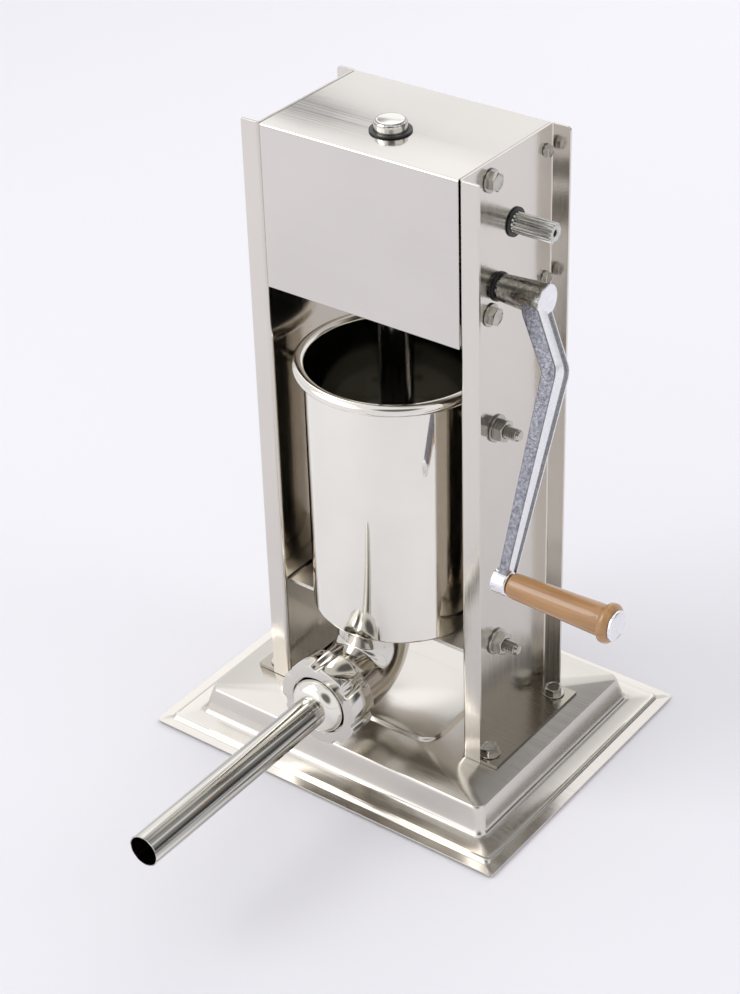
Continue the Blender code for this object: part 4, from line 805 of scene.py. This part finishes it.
def bent_path(corners, radius):
    """Points along a path with arcs for corners, each with its unit normal to the left."""
    corners = [Vector(corner) for corner in corners]
    start_way = (corners[1] - corners[0]).normalized()
    path = [(corners[0], Vector((-start_way.y, start_way.x)))]
    for before, corner, after in zip(corners, corners[1:], corners[2:]):
        way_in = (corner - before).normalized()
        way_out = (after - corner).normalized()
        turn = math.atan2(way_in.cross(way_out), way_in.dot(way_out))
        side = math.copysign(1, turn)
        normal = Vector((-way_in.y, way_in.x))
        centre = corner - way_in * radius * math.tan(abs(turn) / 2) + normal * side * radius
        for step in range(BEND_STEPS + 1):
            turned = normal.copy()
            turned.rotate(Matrix.Rotation(turn * step / BEND_STEPS, 2))
            path.append((centre - turned * side * radius, turned))
    end_way = (corners[-1] - corners[-2]).normalized()
    path.append((corners[-1], Vector((-end_way.y, end_way.x))))
    return path


def bent_sheet(corners, sheet, bend, place, levels):
    """A sheet bent along a path in a plane and drawn between levels on the third axis."""
    path = bent_path(corners, bend)
    outline = [point + normal * sheet / 2 for point, normal in path]
    outline += [point - normal * sheet / 2 for point, normal in reversed(path)]
    return lofted([[place(point.x, point.y, level) for point in outline] for level in levels])


def block(one, other):
    """A box between two opposite corners, in either order."""
    bm = bmesh.new()
    bmesh.ops.create_cube(bm, size=1)
    bmesh.ops.scale(bm, vec=[abs(b - a) for a, b in zip(one, other)], verts=bm.verts)
    bmesh.ops.translate(bm, vec=(Vector(one) + Vector(other)) / 2, verts=bm.verts)
    return bm


# Pieces

def offset_below(profile, gap):
    """The profile moved to its lower side, square to itself."""
    moved = []
    for index, (inset, height) in enumerate(profile):
        way = way_at(profile, index)
        moved.append((inset + way.y * gap, height - way.x * gap))
    moved[0] = (profile[0][0], moved[0][1])
    return moved


def base_pan():
    """A thin pressed sheet: flat brim, bead, ledge, steep wall and raised tray."""
    low, high, middle = machine_box("base_plate")
    half_x = (high.x - low.x) / 2
    half_y = (high.y - low.y) / 2
    height = PANEL_LOW.z - SEAT_GAP
    border = [(inset * BASE_BORDER, BASE_LIFT + rise * (height - BASE_LIFT))
              for inset, rise in BORDER_SHARES]

    def rings(profile, drop):
        sections = []
        for inset, z in profile:
            share = min(1.0, inset / BASE_BORDER)
            corner = BASE_OUTER_CORNER + (BASE_INNER_CORNER - BASE_OUTER_CORNER) * share
            outline = rounded_rectangle(half_x - inset, half_y - inset, middle.y, corner)
            sections.append([(x, y, z) for x, y in outline])
        for inset, rise in TRAY_RINGS:
            outline = rounded_rectangle(TRAY_HALF_WIDTH - inset, TRAY_DEPTH / 2 - inset,
                                        TRAY_FRONT_Y + TRAY_DEPTH / 2, TRAY_CORNER)
            sections.append([(x, y, height + rise - drop) for x, y in outline])
        return sections

    sheet = lofted(rings(border, 0)[::-1] + rings(offset_below(border, BASE_SHEET), BASE_SHEET))
    add_piece("base_pan", [(sheet, "pan")], "machine", ("base_plate",))


def panel(side, sign):
    """A channel-shaped panel whose rear flange has a rounded top corner, on its foot plate; its
    inner faces and its foot plate carry painted shade.
    """
    middle = (PANEL_OUT + PANEL_IN) / 2
    half = PANEL_SHEET / 2
    corners = [
        (sign * PANEL_EDGE, half), (sign * middle, half),
        (sign * middle, PANEL_DEPTH - half), (sign * PANEL_EDGE, PANEL_DEPTH - half),
    ]
    corner_z = PANEL_HIGH.z - FLANGE_CORNER
    levels = [PANEL_LOW.z]
    for step in range(BEND_STEPS + 1):
        levels.append(corner_z + FLANGE_CORNER * math.sin(QUARTER * step / BEND_STEPS))
    web = bent_sheet(corners, PANEL_SHEET, PANEL_BEND, lambda u, v, w: (u, v, w), levels)
    for vertex in web.verts:
        over = vertex.co.z - corner_z
        if over > 0 and vertex.co.y > PANEL_DEPTH / 2:
            reach = math.sqrt(max(0.0, FLANGE_CORNER ** 2 - over ** 2))
            limit = PANEL_EDGE - FLANGE_CORNER + reach
            if abs(vertex.co.x) > limit:
                vertex.co.x = sign * limit
    web.normal_update()
    # Faces turned in towards the cylinder get painted shade, a darker copy of the panel steel
    for face in web.faces:
        if sign * face.normal.x < -INNER_FACE_SHARE:
            face.material_index = 1
    # The foot plate gets painted shade: its steel is darker than the web's
    foot = block((sign * PANEL_IN, TINY, PANEL_LOW.z),
                 (sign * (PANEL_IN + FOOT_PLATE_WIDTH), PANEL_DEPTH - TINY,
                  PANEL_LOW.z + FOOT_PLATE_SHEET))
    add_piece("panel_" + side, [(web, ("panel", "panel_inner")), (foot, "foot")], "machine",
              ("side_panel_" + side,), edge=PANEL_EDGE_ROUND)


def cover():
    """The bent sheet over the gears, with a tab down each side."""
    half = COVER_SHEET / 2
    low = COVER_LOW.z
    high = COVER_HIGH.z
    corners = [(half, low), (half, high - half), (PANEL_DEPTH - half, high - half),
               (PANEL_DEPTH - half, low)]
    sheet = bent_sheet(corners, COVER_SHEET, COVER_BEND, lambda u, v, w: (w, u, v),
                       (-COVER_HIGH.x, COVER_HIGH.x))
    parts = [(sheet, "cover")]
    for sign in (-1, 1):
        inner = sign * (COVER_HIGH.x - COVER_SHEET)
        tab = block((inner, COVER_TAB_FRONT_Y, high - COVER_TAB_DROP),
                    (sign * COVER_HIGH.x, PANEL_DEPTH - half, high - half))
        parts.append((tab, "cover"))
    add_piece("cover", parts, "machine", ("head_cover",), edge=COVER_EDGE)


def hex_head(radius, low, high, start, along, hole=None):
    """A hexagon with rounded-off corners at its top, and a shallow dish or a hole."""
    apothem = radius * math.cos(HEX_HALF_SIDE)
    limit = apothem * HEX_CHAMFER_SHARE
    slope = math.tan(HEX_CHAMFER_SLOPE)
    steps = HEX_SIDES * HEX_STEPS

    def reach(angle):
        return apothem / math.cos(angle % (2 * HEX_HALF_SIDE) - HEX_HALF_SIDE)

    inside = [(limit, high), (limit * HEX_FLAT_SHARE, high)]
    if hole:
        chamfer = hole * HEX_HOLE_CHAMFER_SHARE
        inside += [(hole + chamfer, high), (hole, high - chamfer), (hole, low)]
    else:
        inside.append((limit * HEX_DISH_SHARE, high - HEX_TOP_DISH))
    rings = [
        ring(steps, lambda angle: (reach(angle), low)),
        ring(steps, lambda angle: (reach(angle), high - (reach(angle) - limit) * slope)),
    ]
    rings += [circle(steps, across, z) for across, z in inside]
    return placed(lofted(rings, closed=bool(hole)), start, along)


def washer(inner, outer, height, start, along):
    edge = height * WASHER_ROUND_SHARE
    profile = rounded([(inner, 0), (inner, height, edge), (outer, height, edge), (outer, 0, edge),
                       (inner, 0)], WASHER_EDGE_STEPS)
    return revolved(profile[:-1], start, along, SMALL_STEPS, closed=True)


def washer_and_head(hex_radius, hole, outer, height, sink_share, top, start, along, bore=None):
    """A hex head or nut that begins within its washer, as dressed parts."""
    return [
        (washer(hole, outer, height, start, along), "bolt"),
        (hex_head(hex_radius, height * sink_share, top, start, along, bore), "bolt"),
    ]


def threaded(radius, low, high, start, along):
    """A rod end with thread ridges and a chamfered tip."""
    profile = [(0, low), (radius - THREAD_DEPTH, low)]
    z = low
    while z < high - THREAD_TIP_PITCHES * THREAD_PITCH:
        profile += [(radius - THREAD_DEPTH * depth, z + THREAD_PITCH * rise)
                    for rise, depth in THREAD_RIDGE_SHARES]
        z += THREAD_PITCH
    profile += [
        (radius - THREAD_DEPTH * THREAD_TIP_DEPTH_SHARE, z + THREAD_PITCH * THREAD_TIP_PITCH_SHARE),
        (radius - THREAD_DEPTH * THREAD_END_DEPTH_SHARE, high), (0, high),
    ]
    return revolved(profile, start, along, SMALL_STEPS)


def bolts():
    """Each fastener's size comes from its node's box: the head stands on the panel's face."""
    for name in sorted(frame["nodes"]):
        if not name.startswith(("head_bolt", "foot_bolt")):
            continue
        low, high, middle = machine_box(name)
        if name.startswith("foot"):
            along = "+Z"
            start = (middle.x, middle.y, PANEL_LOW.z + FOOT_PLATE_SHEET + SEAT_GAP)
            top = high.z - start[2]
            radius = LARGE_HEX_RADIUS
        else:
            sign = 1 if "right" in name else -1
            along = "+X" if sign > 0 else "-X"
            start = (sign * (PANEL_OUT + SEAT_GAP), middle.y, middle.z)
            top = max(high.x * sign, low.x * sign) - abs(start[0])
            radius = LARGE_HEX_RADIUS if "front" in name else SMALL_HEX_RADIUS
        parts = washer_and_head(radius, WASHER_HOLE, (high.y - low.y) / 2, BOLT_WASHER_HEIGHT,
                                BOLT_SINK_SHARE, top, start, along)
        if name.startswith("foot"):
            shank = threaded(FOOT_SHANK_RADIUS, low.z - start[2], FOOT_SHANK_RISE, start, along)
            parts.append((shank, "bolt"))
        add_piece(name + "_dressed", parts, "machine", (name,))


def pins_and_studs():
    """Rods through the panels, with a thread and a nut outside, from their nodes' boxes."""
    for side, sign in (("left", -1), ("right", 1)):
        along = "+X" if sign > 0 else "-X"
        for kind in ("pin", "stud"):
            low, high, middle = machine_box(kind + "_" + side)
            near, far = sorted((abs(low.x), abs(high.x)))
            start = (sign * near, middle.y, middle.z)
            radius = (high.z - low.z) / 2
            thread = PANEL_OUT - near
            plain = revolved(rounded([(0, 0), (radius, 0, PIN_EDGE), (radius, thread, PIN_EDGE),
                                      (0, thread)]), start, along, SMALL_STEPS)
            rod = threaded(radius, thread - THREAD_PITCH, far - near, start, along)
            add_piece(kind + "_rod_" + side, [(plain, "bolt"), (rod, "bolt")], "machine",
                      (kind + "_" + side,))
            low, high, _ = machine_box(kind + "_nut_" + side)
            face = (sign * (PANEL_OUT + SEAT_GAP), start[1], start[2])
            hole = radius + TINY
            nut_parts = washer_and_head(NUT_HEX_RADIUS, hole, (high.y - low.y) / 2,
                                        NUT_WASHER_HEIGHT, NUT_SINK_SHARE, high.x - low.x, face,
                                        along, hole)
            add_piece(kind + "_nut_dressed_" + side, nut_parts, "machine",
                      (kind + "_nut_" + side,))


def bushes():
    """Black flanged rings, from each bush's own box."""
    for name, along in BUSH_WAYS.items():
        low, high, middle = machine_box(name)
        start = low if along.startswith("+") else high
        size = high - low
        if along.endswith("X"):
            place = (start.x, middle.y, middle.z)
            length = size.x
            flange = size.z / 2
            sleeve = flange - SHAFT_BUSH_FLANGE
            bore = SHAFT_RADIUS + TINY
            steps = SMALL_STEPS
        else:
            place = (0, AXIS_Y, start.z)
            length = size.z
            flange = size.x / 2
            sleeve = flange - ROD_BUSH_FLANGE
            bore = ROD_RADIUS + SEAT_GAP
            steps = ROUND_STEPS
        back = length - BUSH_FLANGE_HEIGHT
        profile = rounded([
            (bore, 0), (bore, length, BUSH_ROUND), (flange, length, BUSH_ROUND), (flange, back),
            (sleeve, back), (sleeve, 0), (bore, 0),
        ])
        bush = revolved(profile[:-1], place, along, steps, closed=True)
        add_piece(name + "_dressed", [(bush, "black")], "machine", (name,))


def rod_cap():
    """A bright turned end over the rack rod's top."""
    high = machine_box("rack_rod")[1].z + TINY / 2
    radius = ROD_RADIUS + TINY / 2
    low = high - ROD_END_LENGTH
    profile = rounded([(0, high), (radius, high, ROD_END_ROUND), (radius, low), (0, low)],
                      ROD_END_STEPS)
    cap = revolved(profile, (0, AXIS_Y, 0), "+Z")
    add_piece("rod_end", [(cap, "mirror")], "rack")


def fast_shaft():
    """A turned shaft whose splined right end can also take the crank."""
    low, high, middle = machine_box("fast_shaft")
    end = high.x - low.x
    start = PANEL_OUT + SPLINE_START - low.x
    steps = SPLINE_TEETH * SPLINE_STEPS
    edge = SPLINE_CHAMFER

    def spline_radius(angle):
        wave = (1 + math.cos(angle * SPLINE_TEETH)) / 2
        tooth = min(1.0, max(0.0, wave * SPLINE_STEEPNESS - (SPLINE_STEEPNESS - 1) / 2))
        return SHAFT_RADIUS - SPLINE_DEPTH * (1 - tooth)

    def splined(height, share=1.0):
        return ring(steps, lambda angle: (spline_radius(angle) * share, height))

    sections = [
        circle(steps, SHAFT_RADIUS - edge, 0), circle(steps, SHAFT_RADIUS, edge),
        circle(steps, SHAFT_RADIUS, start), splined(start + edge), splined(end - edge),
        splined(end, SPLINE_END_SHARE),
        circle(steps, CENTRE_HOLE_RADIUS + CENTRE_HOLE_CHAMFER, end),
        circle(steps, CENTRE_HOLE_RADIUS, end - CENTRE_HOLE_CHAMFER),
        circle(steps, CENTRE_HOLE_RADIUS, end - CENTRE_HOLE_DEPTH),
    ]
    shaft = placed(lofted(sections), (low.x, middle.y, middle.z), "+X")
    add_piece("fast_shaft_dressed", [(shaft, "shaft")], "fast_drive",
              ("fast_shaft",))


def turned_crank(bm):
    """From the crank as it hangs straight down to its place at rest."""
    bmesh.ops.rotate(bm, cent=(0, HUB_Y, HUB_Z), matrix=Matrix.Rotation(CRANK_TURN, 3, "X"),
                     verts=bm.verts)
    return bm


def arm_size(down):
    """The arm's thickness and width at a distance below the hub's axis."""
    top, knee, end = ARM_THICKNESSES
    if down < ARM_KNEE:
        return top + (knee - top) * down / ARM_KNEE, ARM_TOP_WIDTH
    share = (down - ARM_KNEE) / (CRANK_RADIUS - ARM_KNEE)
    return knee + (end - knee) * share, ARM_TOP_WIDTH + (ARM_END_WIDTH - ARM_TOP_WIDTH) * share


def arm_section(place, way):
    """A closed outline square to the arm: rounded edges, and a groove in its outer face."""
    thickness, width = arm_size(HUB_Z - place.y)
    half = width / 2
    outer = thickness / 2
    groove_low = -half + width * ARM_GROOVE_START_SHARE
    groove_high = -half + width * ARM_GROOVE_END_SHARE
    depth = ARM_GROOVE_DEPTH
    edge = ARM_EDGE * ARM_OUTER_EDGE_SHARE
    lip = depth * ARM_GROOVE_EDGE_SHARE
    corners = [
        (-half, -outer), (half, -outer, ARM_EDGE), (half, outer, edge), (groove_high, outer, lip),
        (groove_high - depth, outer - depth, lip), (groove_low + depth, outer - depth, lip),
        (groove_low, outer, lip), (-half, outer, edge), (-half, -outer, ARM_EDGE), (half, -outer),
    ]
    normal = Vector((-way.y, way.x))
    points = []
    for across, out in rounded(corners, ARM_EDGE_STEPS)[1:-1]:
        spot = place + normal * out
        points.append((spot.x, HUB_Y + across, spot.y))
    return points


def crank_bar(face):
    """The bent arm: rough cast, with a bright outer face, and painted shade in the groove and on the
    front edge.
    """
    top, knee, end = ARM_THICKNESSES
    corners = [
        (face - top / 2, HUB_Z), (face - top / 2, HUB_Z - ARM_NECK),
        (face + ARM_OFFSET - knee / 2, HUB_Z - ARM_KNEE),
        (face + ARM_OFFSET - end / 2, HUB_Z - CRANK_RADIUS),
    ]
    path = [point for point, _normal in bent_path(corners, ARM_BEND)]
    dense = []
    for before, after in zip(path, path[1:]):
        pieces = max(1, round((after - before).length / ARM_SECTION_LENGTH))
        dense += [before.lerp(after, step / pieces) for step in range(pieces)]
    dense.append(path[-1])
    bar = lofted([arm_section(place, way_at(dense, index)) for index, place in enumerate(dense)])
    for side in bar.faces:
        if side.normal.x <= OUTER_FACE_SHARE:
            continue
        middle = side.calc_center_median()
        width = arm_size(HUB_Z - middle.z)[1]
        share = (middle.y - HUB_Y + width / 2) / width
        # The groove and the front edge get painted shade
        grooved = ARM_GROOVE_START_SHARE < share < ARM_GROOVE_END_SHARE
        front_edge = side.normal.y < -OUTER_FACE_SHARE
        side.material_index = 2 if grooved or front_edge else 1
    return bar


def crank():
    """Hub, arm and grip boss, each face with the look that its side has."""
    hub_start = PANEL_OUT + HUB_STANDOFF
    profile = [(0, HUB_BORE_DEPTH), (HUB_BORE, HUB_BORE_DEPTH)]
    profile += rounded([
        (HUB_BORE, 0), (HUB_ROOT_RADIUS, 0, HUB_EDGE * HUB_ROOT_EDGE_SHARE),
        (HUB_END_RADIUS, HUB_LENGTH, HUB_EDGE), (0, HUB_LENGTH),
    ], HUB_EDGE_STEPS)
    hub = revolved(profile, (hub_start, HUB_Y, HUB_Z), "+X")
    for side in hub.faces:
        side.material_index = 1 if side.normal.x > OUTER_FACE_SHARE else 0
    face = hub_start + HUB_LENGTH - ARM_SET_BACK
    hole = AXLE_RADIUS + TINY
    boss_start = face + ARM_OFFSET + ARM_SET_BACK - BOSS_LENGTH
    boss = revolved(rounded([
        (hole, 0), (BOSS_RADIUS, 0, BOSS_ROUND), (BOSS_RADIUS, BOSS_LENGTH, BOSS_ROUND),
        (hole, BOSS_LENGTH),
    ], BOSS_EDGE_STEPS), (boss_start, HUB_Y, HUB_Z - CRANK_RADIUS), "+X", closed=True)
    parts = [(turned_crank(hub), ("cast_hub", "cast_bright")),
             (turned_crank(crank_bar(face)), ("cast_rough", "cast_bright", "cast_groove")),
             (turned_crank(boss), "cast_bright")]
    add_piece("crank", parts, "crank", ("crank_arm",))


def grip():
    """The turned wooden grip, and the axle whose dished head ends it."""
    low, high, middle = machine_box("crank_grip")
    length = high.x - low.x
    profile = [(GRIP_BORE, 0)]
    profile += [(share * GRIP_UNIT_RADIUS, along * length) for along, share in GRIP_PROFILE_SHARES]
    profile.append((GRIP_BORE, length))
    wood = revolved(profile, (low.x, middle.y, middle.z), "+X", closed=True)
    add_piece("grip", [(wood, "wood")], "grip", ("crank_grip",))
    low, high, _ = machine_box("grip_axle")
    head = high.x - AXLE_HEAD_HEIGHT
    corners = [(0, low.x), (AXLE_RADIUS, low.x, AXLE_END_ROUND), (AXLE_RADIUS, head)]
    corners += [(across * AXLE_HEAD_RADIUS, head + rise * AXLE_HEAD_HEIGHT, *edge)
                for across, rise, *edge in AXLE_HEAD_CORNERS]
    axle = revolved(rounded(corners, AXLE_EDGE_STEPS), (0, middle.y, middle.z), "+X")
    add_piece("axle", [(axle, "cast_bright")], "crank", ("grip_axle",))


def can():
    """The cylinder with its floor, rounded foot and rolled rim."""
    low = CAN_LOW.z
    bead_z = CAN_HIGH.z - BEAD_RADIUS
    bead = arc((BORE_RADIUS + BEAD_RADIUS, bead_z), BEAD_RADIUS, math.pi, -QUARTER - BEAD_CURL,
               BEAD_STEPS)
    foot = rounded([
        (CAN_RADIUS, bead_z - BEAD_RADIUS), (CAN_RADIUS, low, CAN_FOOT_ROUND), (OUTLET_RADIUS, low),
    ], CAN_FOOT_STEPS)
    profile = [(0, low + CAN_FLOOR), (BORE_RADIUS - CAN_FOOT_ROUND, low + CAN_FLOOR),
               (BORE_RADIUS, low + CAN_FLOOR + CAN_FOOT_ROUND)]
    profile += bead + foot + [(0, low)]
    shell = revolved(profile, (0, AXIS_Y, 0), "+Z", FINE_STEPS)
    add_piece("can", [(shell, "can")], "machine", ("cylinder",))


def swept(path, radius):
    """Rings about points of (y, z) in the mid-plane, each square to the path."""
    rings = []
    for index, (y, z) in enumerate(path):
        way = way_at(path, index)
        rings.append([(across, y - way.y * up, z + way.x * up)
                      for across, up, _ in circle(ROUND_STEPS, radius, 0)])
    return rings


def elbow():
    """The bent outlet and its collar, which the ring nut screws on."""
    centre = (OUTLET_Y - OUTLET_BEND, OUTLET_Z + OUTLET_BEND)
    path = [(OUTLET_Y, OUTLET_HIGH.z)]
    path += arc(centre, OUTLET_BEND, 0, -QUARTER, OUTLET_BEND_STEPS)
    path.append((OUTLET_LOW.y, OUTLET_Z))
    pipe = lofted(swept(path, OUTLET_RADIUS) + swept(path, OUTLET_RADIUS - OUTLET_WALL)[::-1],
                  closed=True)
    root = OUTLET_RADIUS - TINY
    collar = revolved(rounded([
        (root, 0), (COLLAR_RADIUS, 0, COLLAR_REAR_ROUND),
        (COLLAR_RADIUS, COLLAR_LENGTH, COLLAR_FRONT_ROUND), (root, COLLAR_LENGTH),
    ], COLLAR_EDGE_STEPS), (0, OUTLET_LOW.y + COLLAR_LENGTH, OUTLET_Z), "-Y", closed=True)
    add_piece("elbow", [(pipe, "outlet"), (collar, "outlet")], "machine",
              ("outlet_elbow",))


def nozzle_tube():
    """A drawn tube with a polished dome and rim at its rear."""
    length = NOZZLE_HIGH.y - NOZZLE_LOW.y
    rim_radius = (NOZZLE_HIGH.z - NOZZLE_LOW.z) / 2
    bore = NOZZLE_RADIUS - NOZZLE_WALL
    shoulder = NOZZLE_RIM_HEIGHT + NOZZLE_DOME_HEIGHT
    outer = []
    inner = []
    for step in range(DOME_STEPS + 1):
        angle = QUARTER * (1 - step / DOME_STEPS)
        across = (NOZZLE_DOME_RADIUS - NOZZLE_RADIUS) * math.cos(angle)
        forward = math.sin(angle)
        outer.append((NOZZLE_RADIUS + across, NOZZLE_RIM_HEIGHT + NOZZLE_DOME_HEIGHT * forward))
        inner.append((bore + across, (shoulder - NOZZLE_WALL) * forward))
    profile = [(bore, length), (bore + NOZZLE_WALL / 2, length), (NOZZLE_RADIUS, length - TINY)]
    profile += outer + [(rim_radius, NOZZLE_RIM_HEIGHT), (rim_radius, 0)] + inner[::-1]
    tube = revolved(profile, (0, NOZZLE_HIGH.y, OUTLET_Z), "-Y", closed=True)
    for face in tube.faces:
        if face.calc_center_median().y > NOZZLE_HIGH.y - shoulder:
            face.material_index = 1
    add_piece("nozzle_tube_dressed", [(tube, ("tube", "mirror"))], "nozzle_tube",
              ("nozzle",))


def nut():
    """A hollow ring nut with wide flutes around its grip."""
    low, high, _ = machine_box("ring_nut")
    length = high.y - low.y
    outer = (high.z - low.z) / 2
    bore = COLLAR_RADIUS + SEAT_GAP
    cavity = length - NUT_FRONT
    steps = FLUTES * NUT_STEPS_PER_FLUTE
    centre = outer + FLUTE_RADIUS - FLUTE_DEPTH

    def grip_radius(angle):
        within = (angle - FLUTE_TURN) % (FULL / FLUTES)
        if within > math.pi / FLUTES:
            within -= FULL / FLUTES
        inside = FLUTE_RADIUS ** 2 - (centre * math.sin(within)) ** 2
        if inside <= 0:
            return outer
        return min(outer, centre * math.cos(within) - math.sqrt(inside))

    def fluted(height, less=0):
        return ring(steps, lambda angle: (grip_radius(angle) - less, height))

    edge = NUT_CHAMFER
    near = NUT_CHAMFER_STEP
    sections = [
        circle(steps, bore, 0), fluted(0, edge), fluted(near, near), fluted(edge),
        fluted(length - edge), fluted(length - near, near), fluted(length, edge),
        circle(steps, NUT_HOLE + edge / 2, length), circle(steps, NUT_HOLE, length - edge / 2),
        circle(steps, NUT_HOLE, cavity), circle(steps, bore, cavity),
    ]
    ring_nut = placed(lofted(sections, closed=True), (0, high.y, OUTLET_Z), "-Y")
    add_piece("nut_dressed", [(ring_nut, "outlet")], "nut", ("ring_nut",))


CAD_LOOKS = {
    "gear_floor": "inner", "bearing_plate": "inner", "cylinder_cradle": "inner",
    # The rack rod's look carries painted shade
    "rack_rod": "rod", "rack_pinion": "gear", "large_gear": "gear", "slow_shaft": "shaft",
    "piston_disc": "white", "piston_gasket": "rubber",
    "piston_nut": "bolt", "release_valve": "white", "nozzle_gasket": "rubber",
    "pad_left_front": "rubber", "pad_left_rear": "rubber", "pad_right_front": "rubber",
    "pad_right_rear": "rubber",
}


def dress_cad_nodes():
    """Better materials and softened edges for the nodes whose own shape is right."""
    for name, look in CAD_LOOKS.items():
        obj = frame["nodes"][name]
        for slot in obj.material_slots:
            slot.material = LOOKS[look]
        obj.data.shade_smooth()
        weld = obj.modifiers.new("weld", "WELD")
        weld.merge_threshold = CAD_WELD
        soften(obj, CAD_SMOOTH_WIDTH, CAD_EDGE_SEGMENTS)


# Studio

def camera():
    """The view of the photograph: turned about the vertical, tipped, set off and rolled."""
    target = Matrix.Translation(TO_WORLD + Vector((0, 0, CAMERA_TARGET_HEIGHT)))
    turn = Matrix.Rotation(CAMERA_AZIMUTH, 4, "Z")
    tip = Matrix.Rotation(QUARTER - CAMERA_ELEVATION, 4, "X")
    offset = Matrix.Translation((CAMERA_RIGHT, CAMERA_UP, CAMERA_DISTANCE))
    data = bpy.data.cameras.new("camera")
    obj = bpy.data.objects.new("camera", data)
    bpy.context.scene.collection.objects.link(obj)
    obj.matrix_world = target @ turn @ tip @ offset @ Matrix.Rotation(CAMERA_ROLL, 4, "Z")
    data.sensor_width = SENSOR
    data.lens = FOCAL_PIXELS * SENSOR / IMAGE_LONG_SIDE
    data.shift_x = CENTRE_SHIFT_X / IMAGE_LONG_SIDE
    data.shift_y = CENTRE_SHIFT_Y / IMAGE_LONG_SIDE
    data.clip_start = CLIP_START
    data.clip_end = CLIP_END
    bpy.context.scene.camera = obj


def floor():
    """A wide sheet of pale paper under the machine."""
    mesh = bpy.data.meshes.new("floor")
    half = FLOOR_HALF
    mesh.from_pydata([(-half, -half, -FLOOR_DROP), (half, -half, -FLOOR_DROP),
                      (half, half, -FLOOR_DROP), (-half, half, -FLOOR_DROP)], [], [(0, 1, 2, 3)])
    look = Look("floor_paper").set(roughness=FLOOR_ROUGHNESS)
    tone = look.noise(FLOOR_TONE_SCALE, detail=2.0)
    feed(look.tree, look.shader.inputs["Base Color"],
         look.shades(tone, FLOOR_COLOUR, FLOOR_TONE_SHADES))
    mesh.materials.append(look.material)
    obj = bpy.data.objects.new("floor", mesh)
    bpy.context.scene.collection.objects.link(obj)


def world():
    """A grey studio whose bright and dark patches only metal shows."""
    studio = bpy.data.worlds.new("studio")
    studio.use_nodes = True
    bpy.context.scene.world = studio
    tree = studio.node_tree
    place = tree.nodes.new("ShaderNodeTexCoord").outputs["Generated"]
    shown = STUDIO_GREY
    for azimuth, height, half, soft, grey in STUDIO_PATCHES:
        a = math.radians(azimuth)
        e = math.radians(height)
        dot = tree.nodes.new("ShaderNodeVectorMath")
        dot.operation = "DOT_PRODUCT"
        feed(tree, dot.inputs[0], place)
        way = (math.sin(a) * math.cos(e), -math.cos(a) * math.cos(e), math.sin(e))
        feed(tree, dot.inputs[1], way)
        rim = math.cos(math.radians(half + soft))
        core = math.cos(math.radians(max(LEAST_PATCH_CORE, half - soft)))
        reach = mapped(tree, dot.outputs["Value"], rim, core, 0.0, 1.0)
        reach.interpolation_type = "SMOOTHSTEP"
        shown = mixed(tree, MIX_NUMBER, reach.outputs["Result"], shown, grey)
    rays = tree.nodes.new("ShaderNodeLightPath").outputs
    seen = mixed(tree, MIX_NUMBER, rays["Is Glossy Ray"], SKY_STRENGTH, shown)
    background = tree.nodes["Background"]
    feed(tree, background.inputs["Strength"],
         mixed(tree, MIX_NUMBER, rays["Is Camera Ray"], seen, STUDIO_GREY))
    background.inputs["Color"].default_value = STUDIO_TINT


def lamps():
    for name, place, size, power, shown in LAMPS:
        data = bpy.data.lights.new(name, "AREA")
        data.shape = "SQUARE"
        data.size = size
        data.energy = power
        obj = bpy.data.objects.new(name, data)
        bpy.context.scene.collection.objects.link(obj)
        obj.location = place
        way = Vector(LAMP_TARGET) - Vector(place)
        obj.rotation_mode = "QUATERNION"
        obj.rotation_quaternion = way.to_track_quat("-Z", "Y")
        obj.visible_glossy = shown


def build():
    camera()
    base_pan()
    panel("left", -1)
    panel("right", 1)
    cover()
    bolts()
    pins_and_studs()
    bushes()
    rod_cap()
    fast_shaft()
    crank()
    grip()
    can()
    elbow()
    nozzle_tube()
    nut()
    dress_cad_nodes()
    floor()
    world()
    lamps()
    bpy.context.scene.view_settings.view_transform = "Standard"


build()
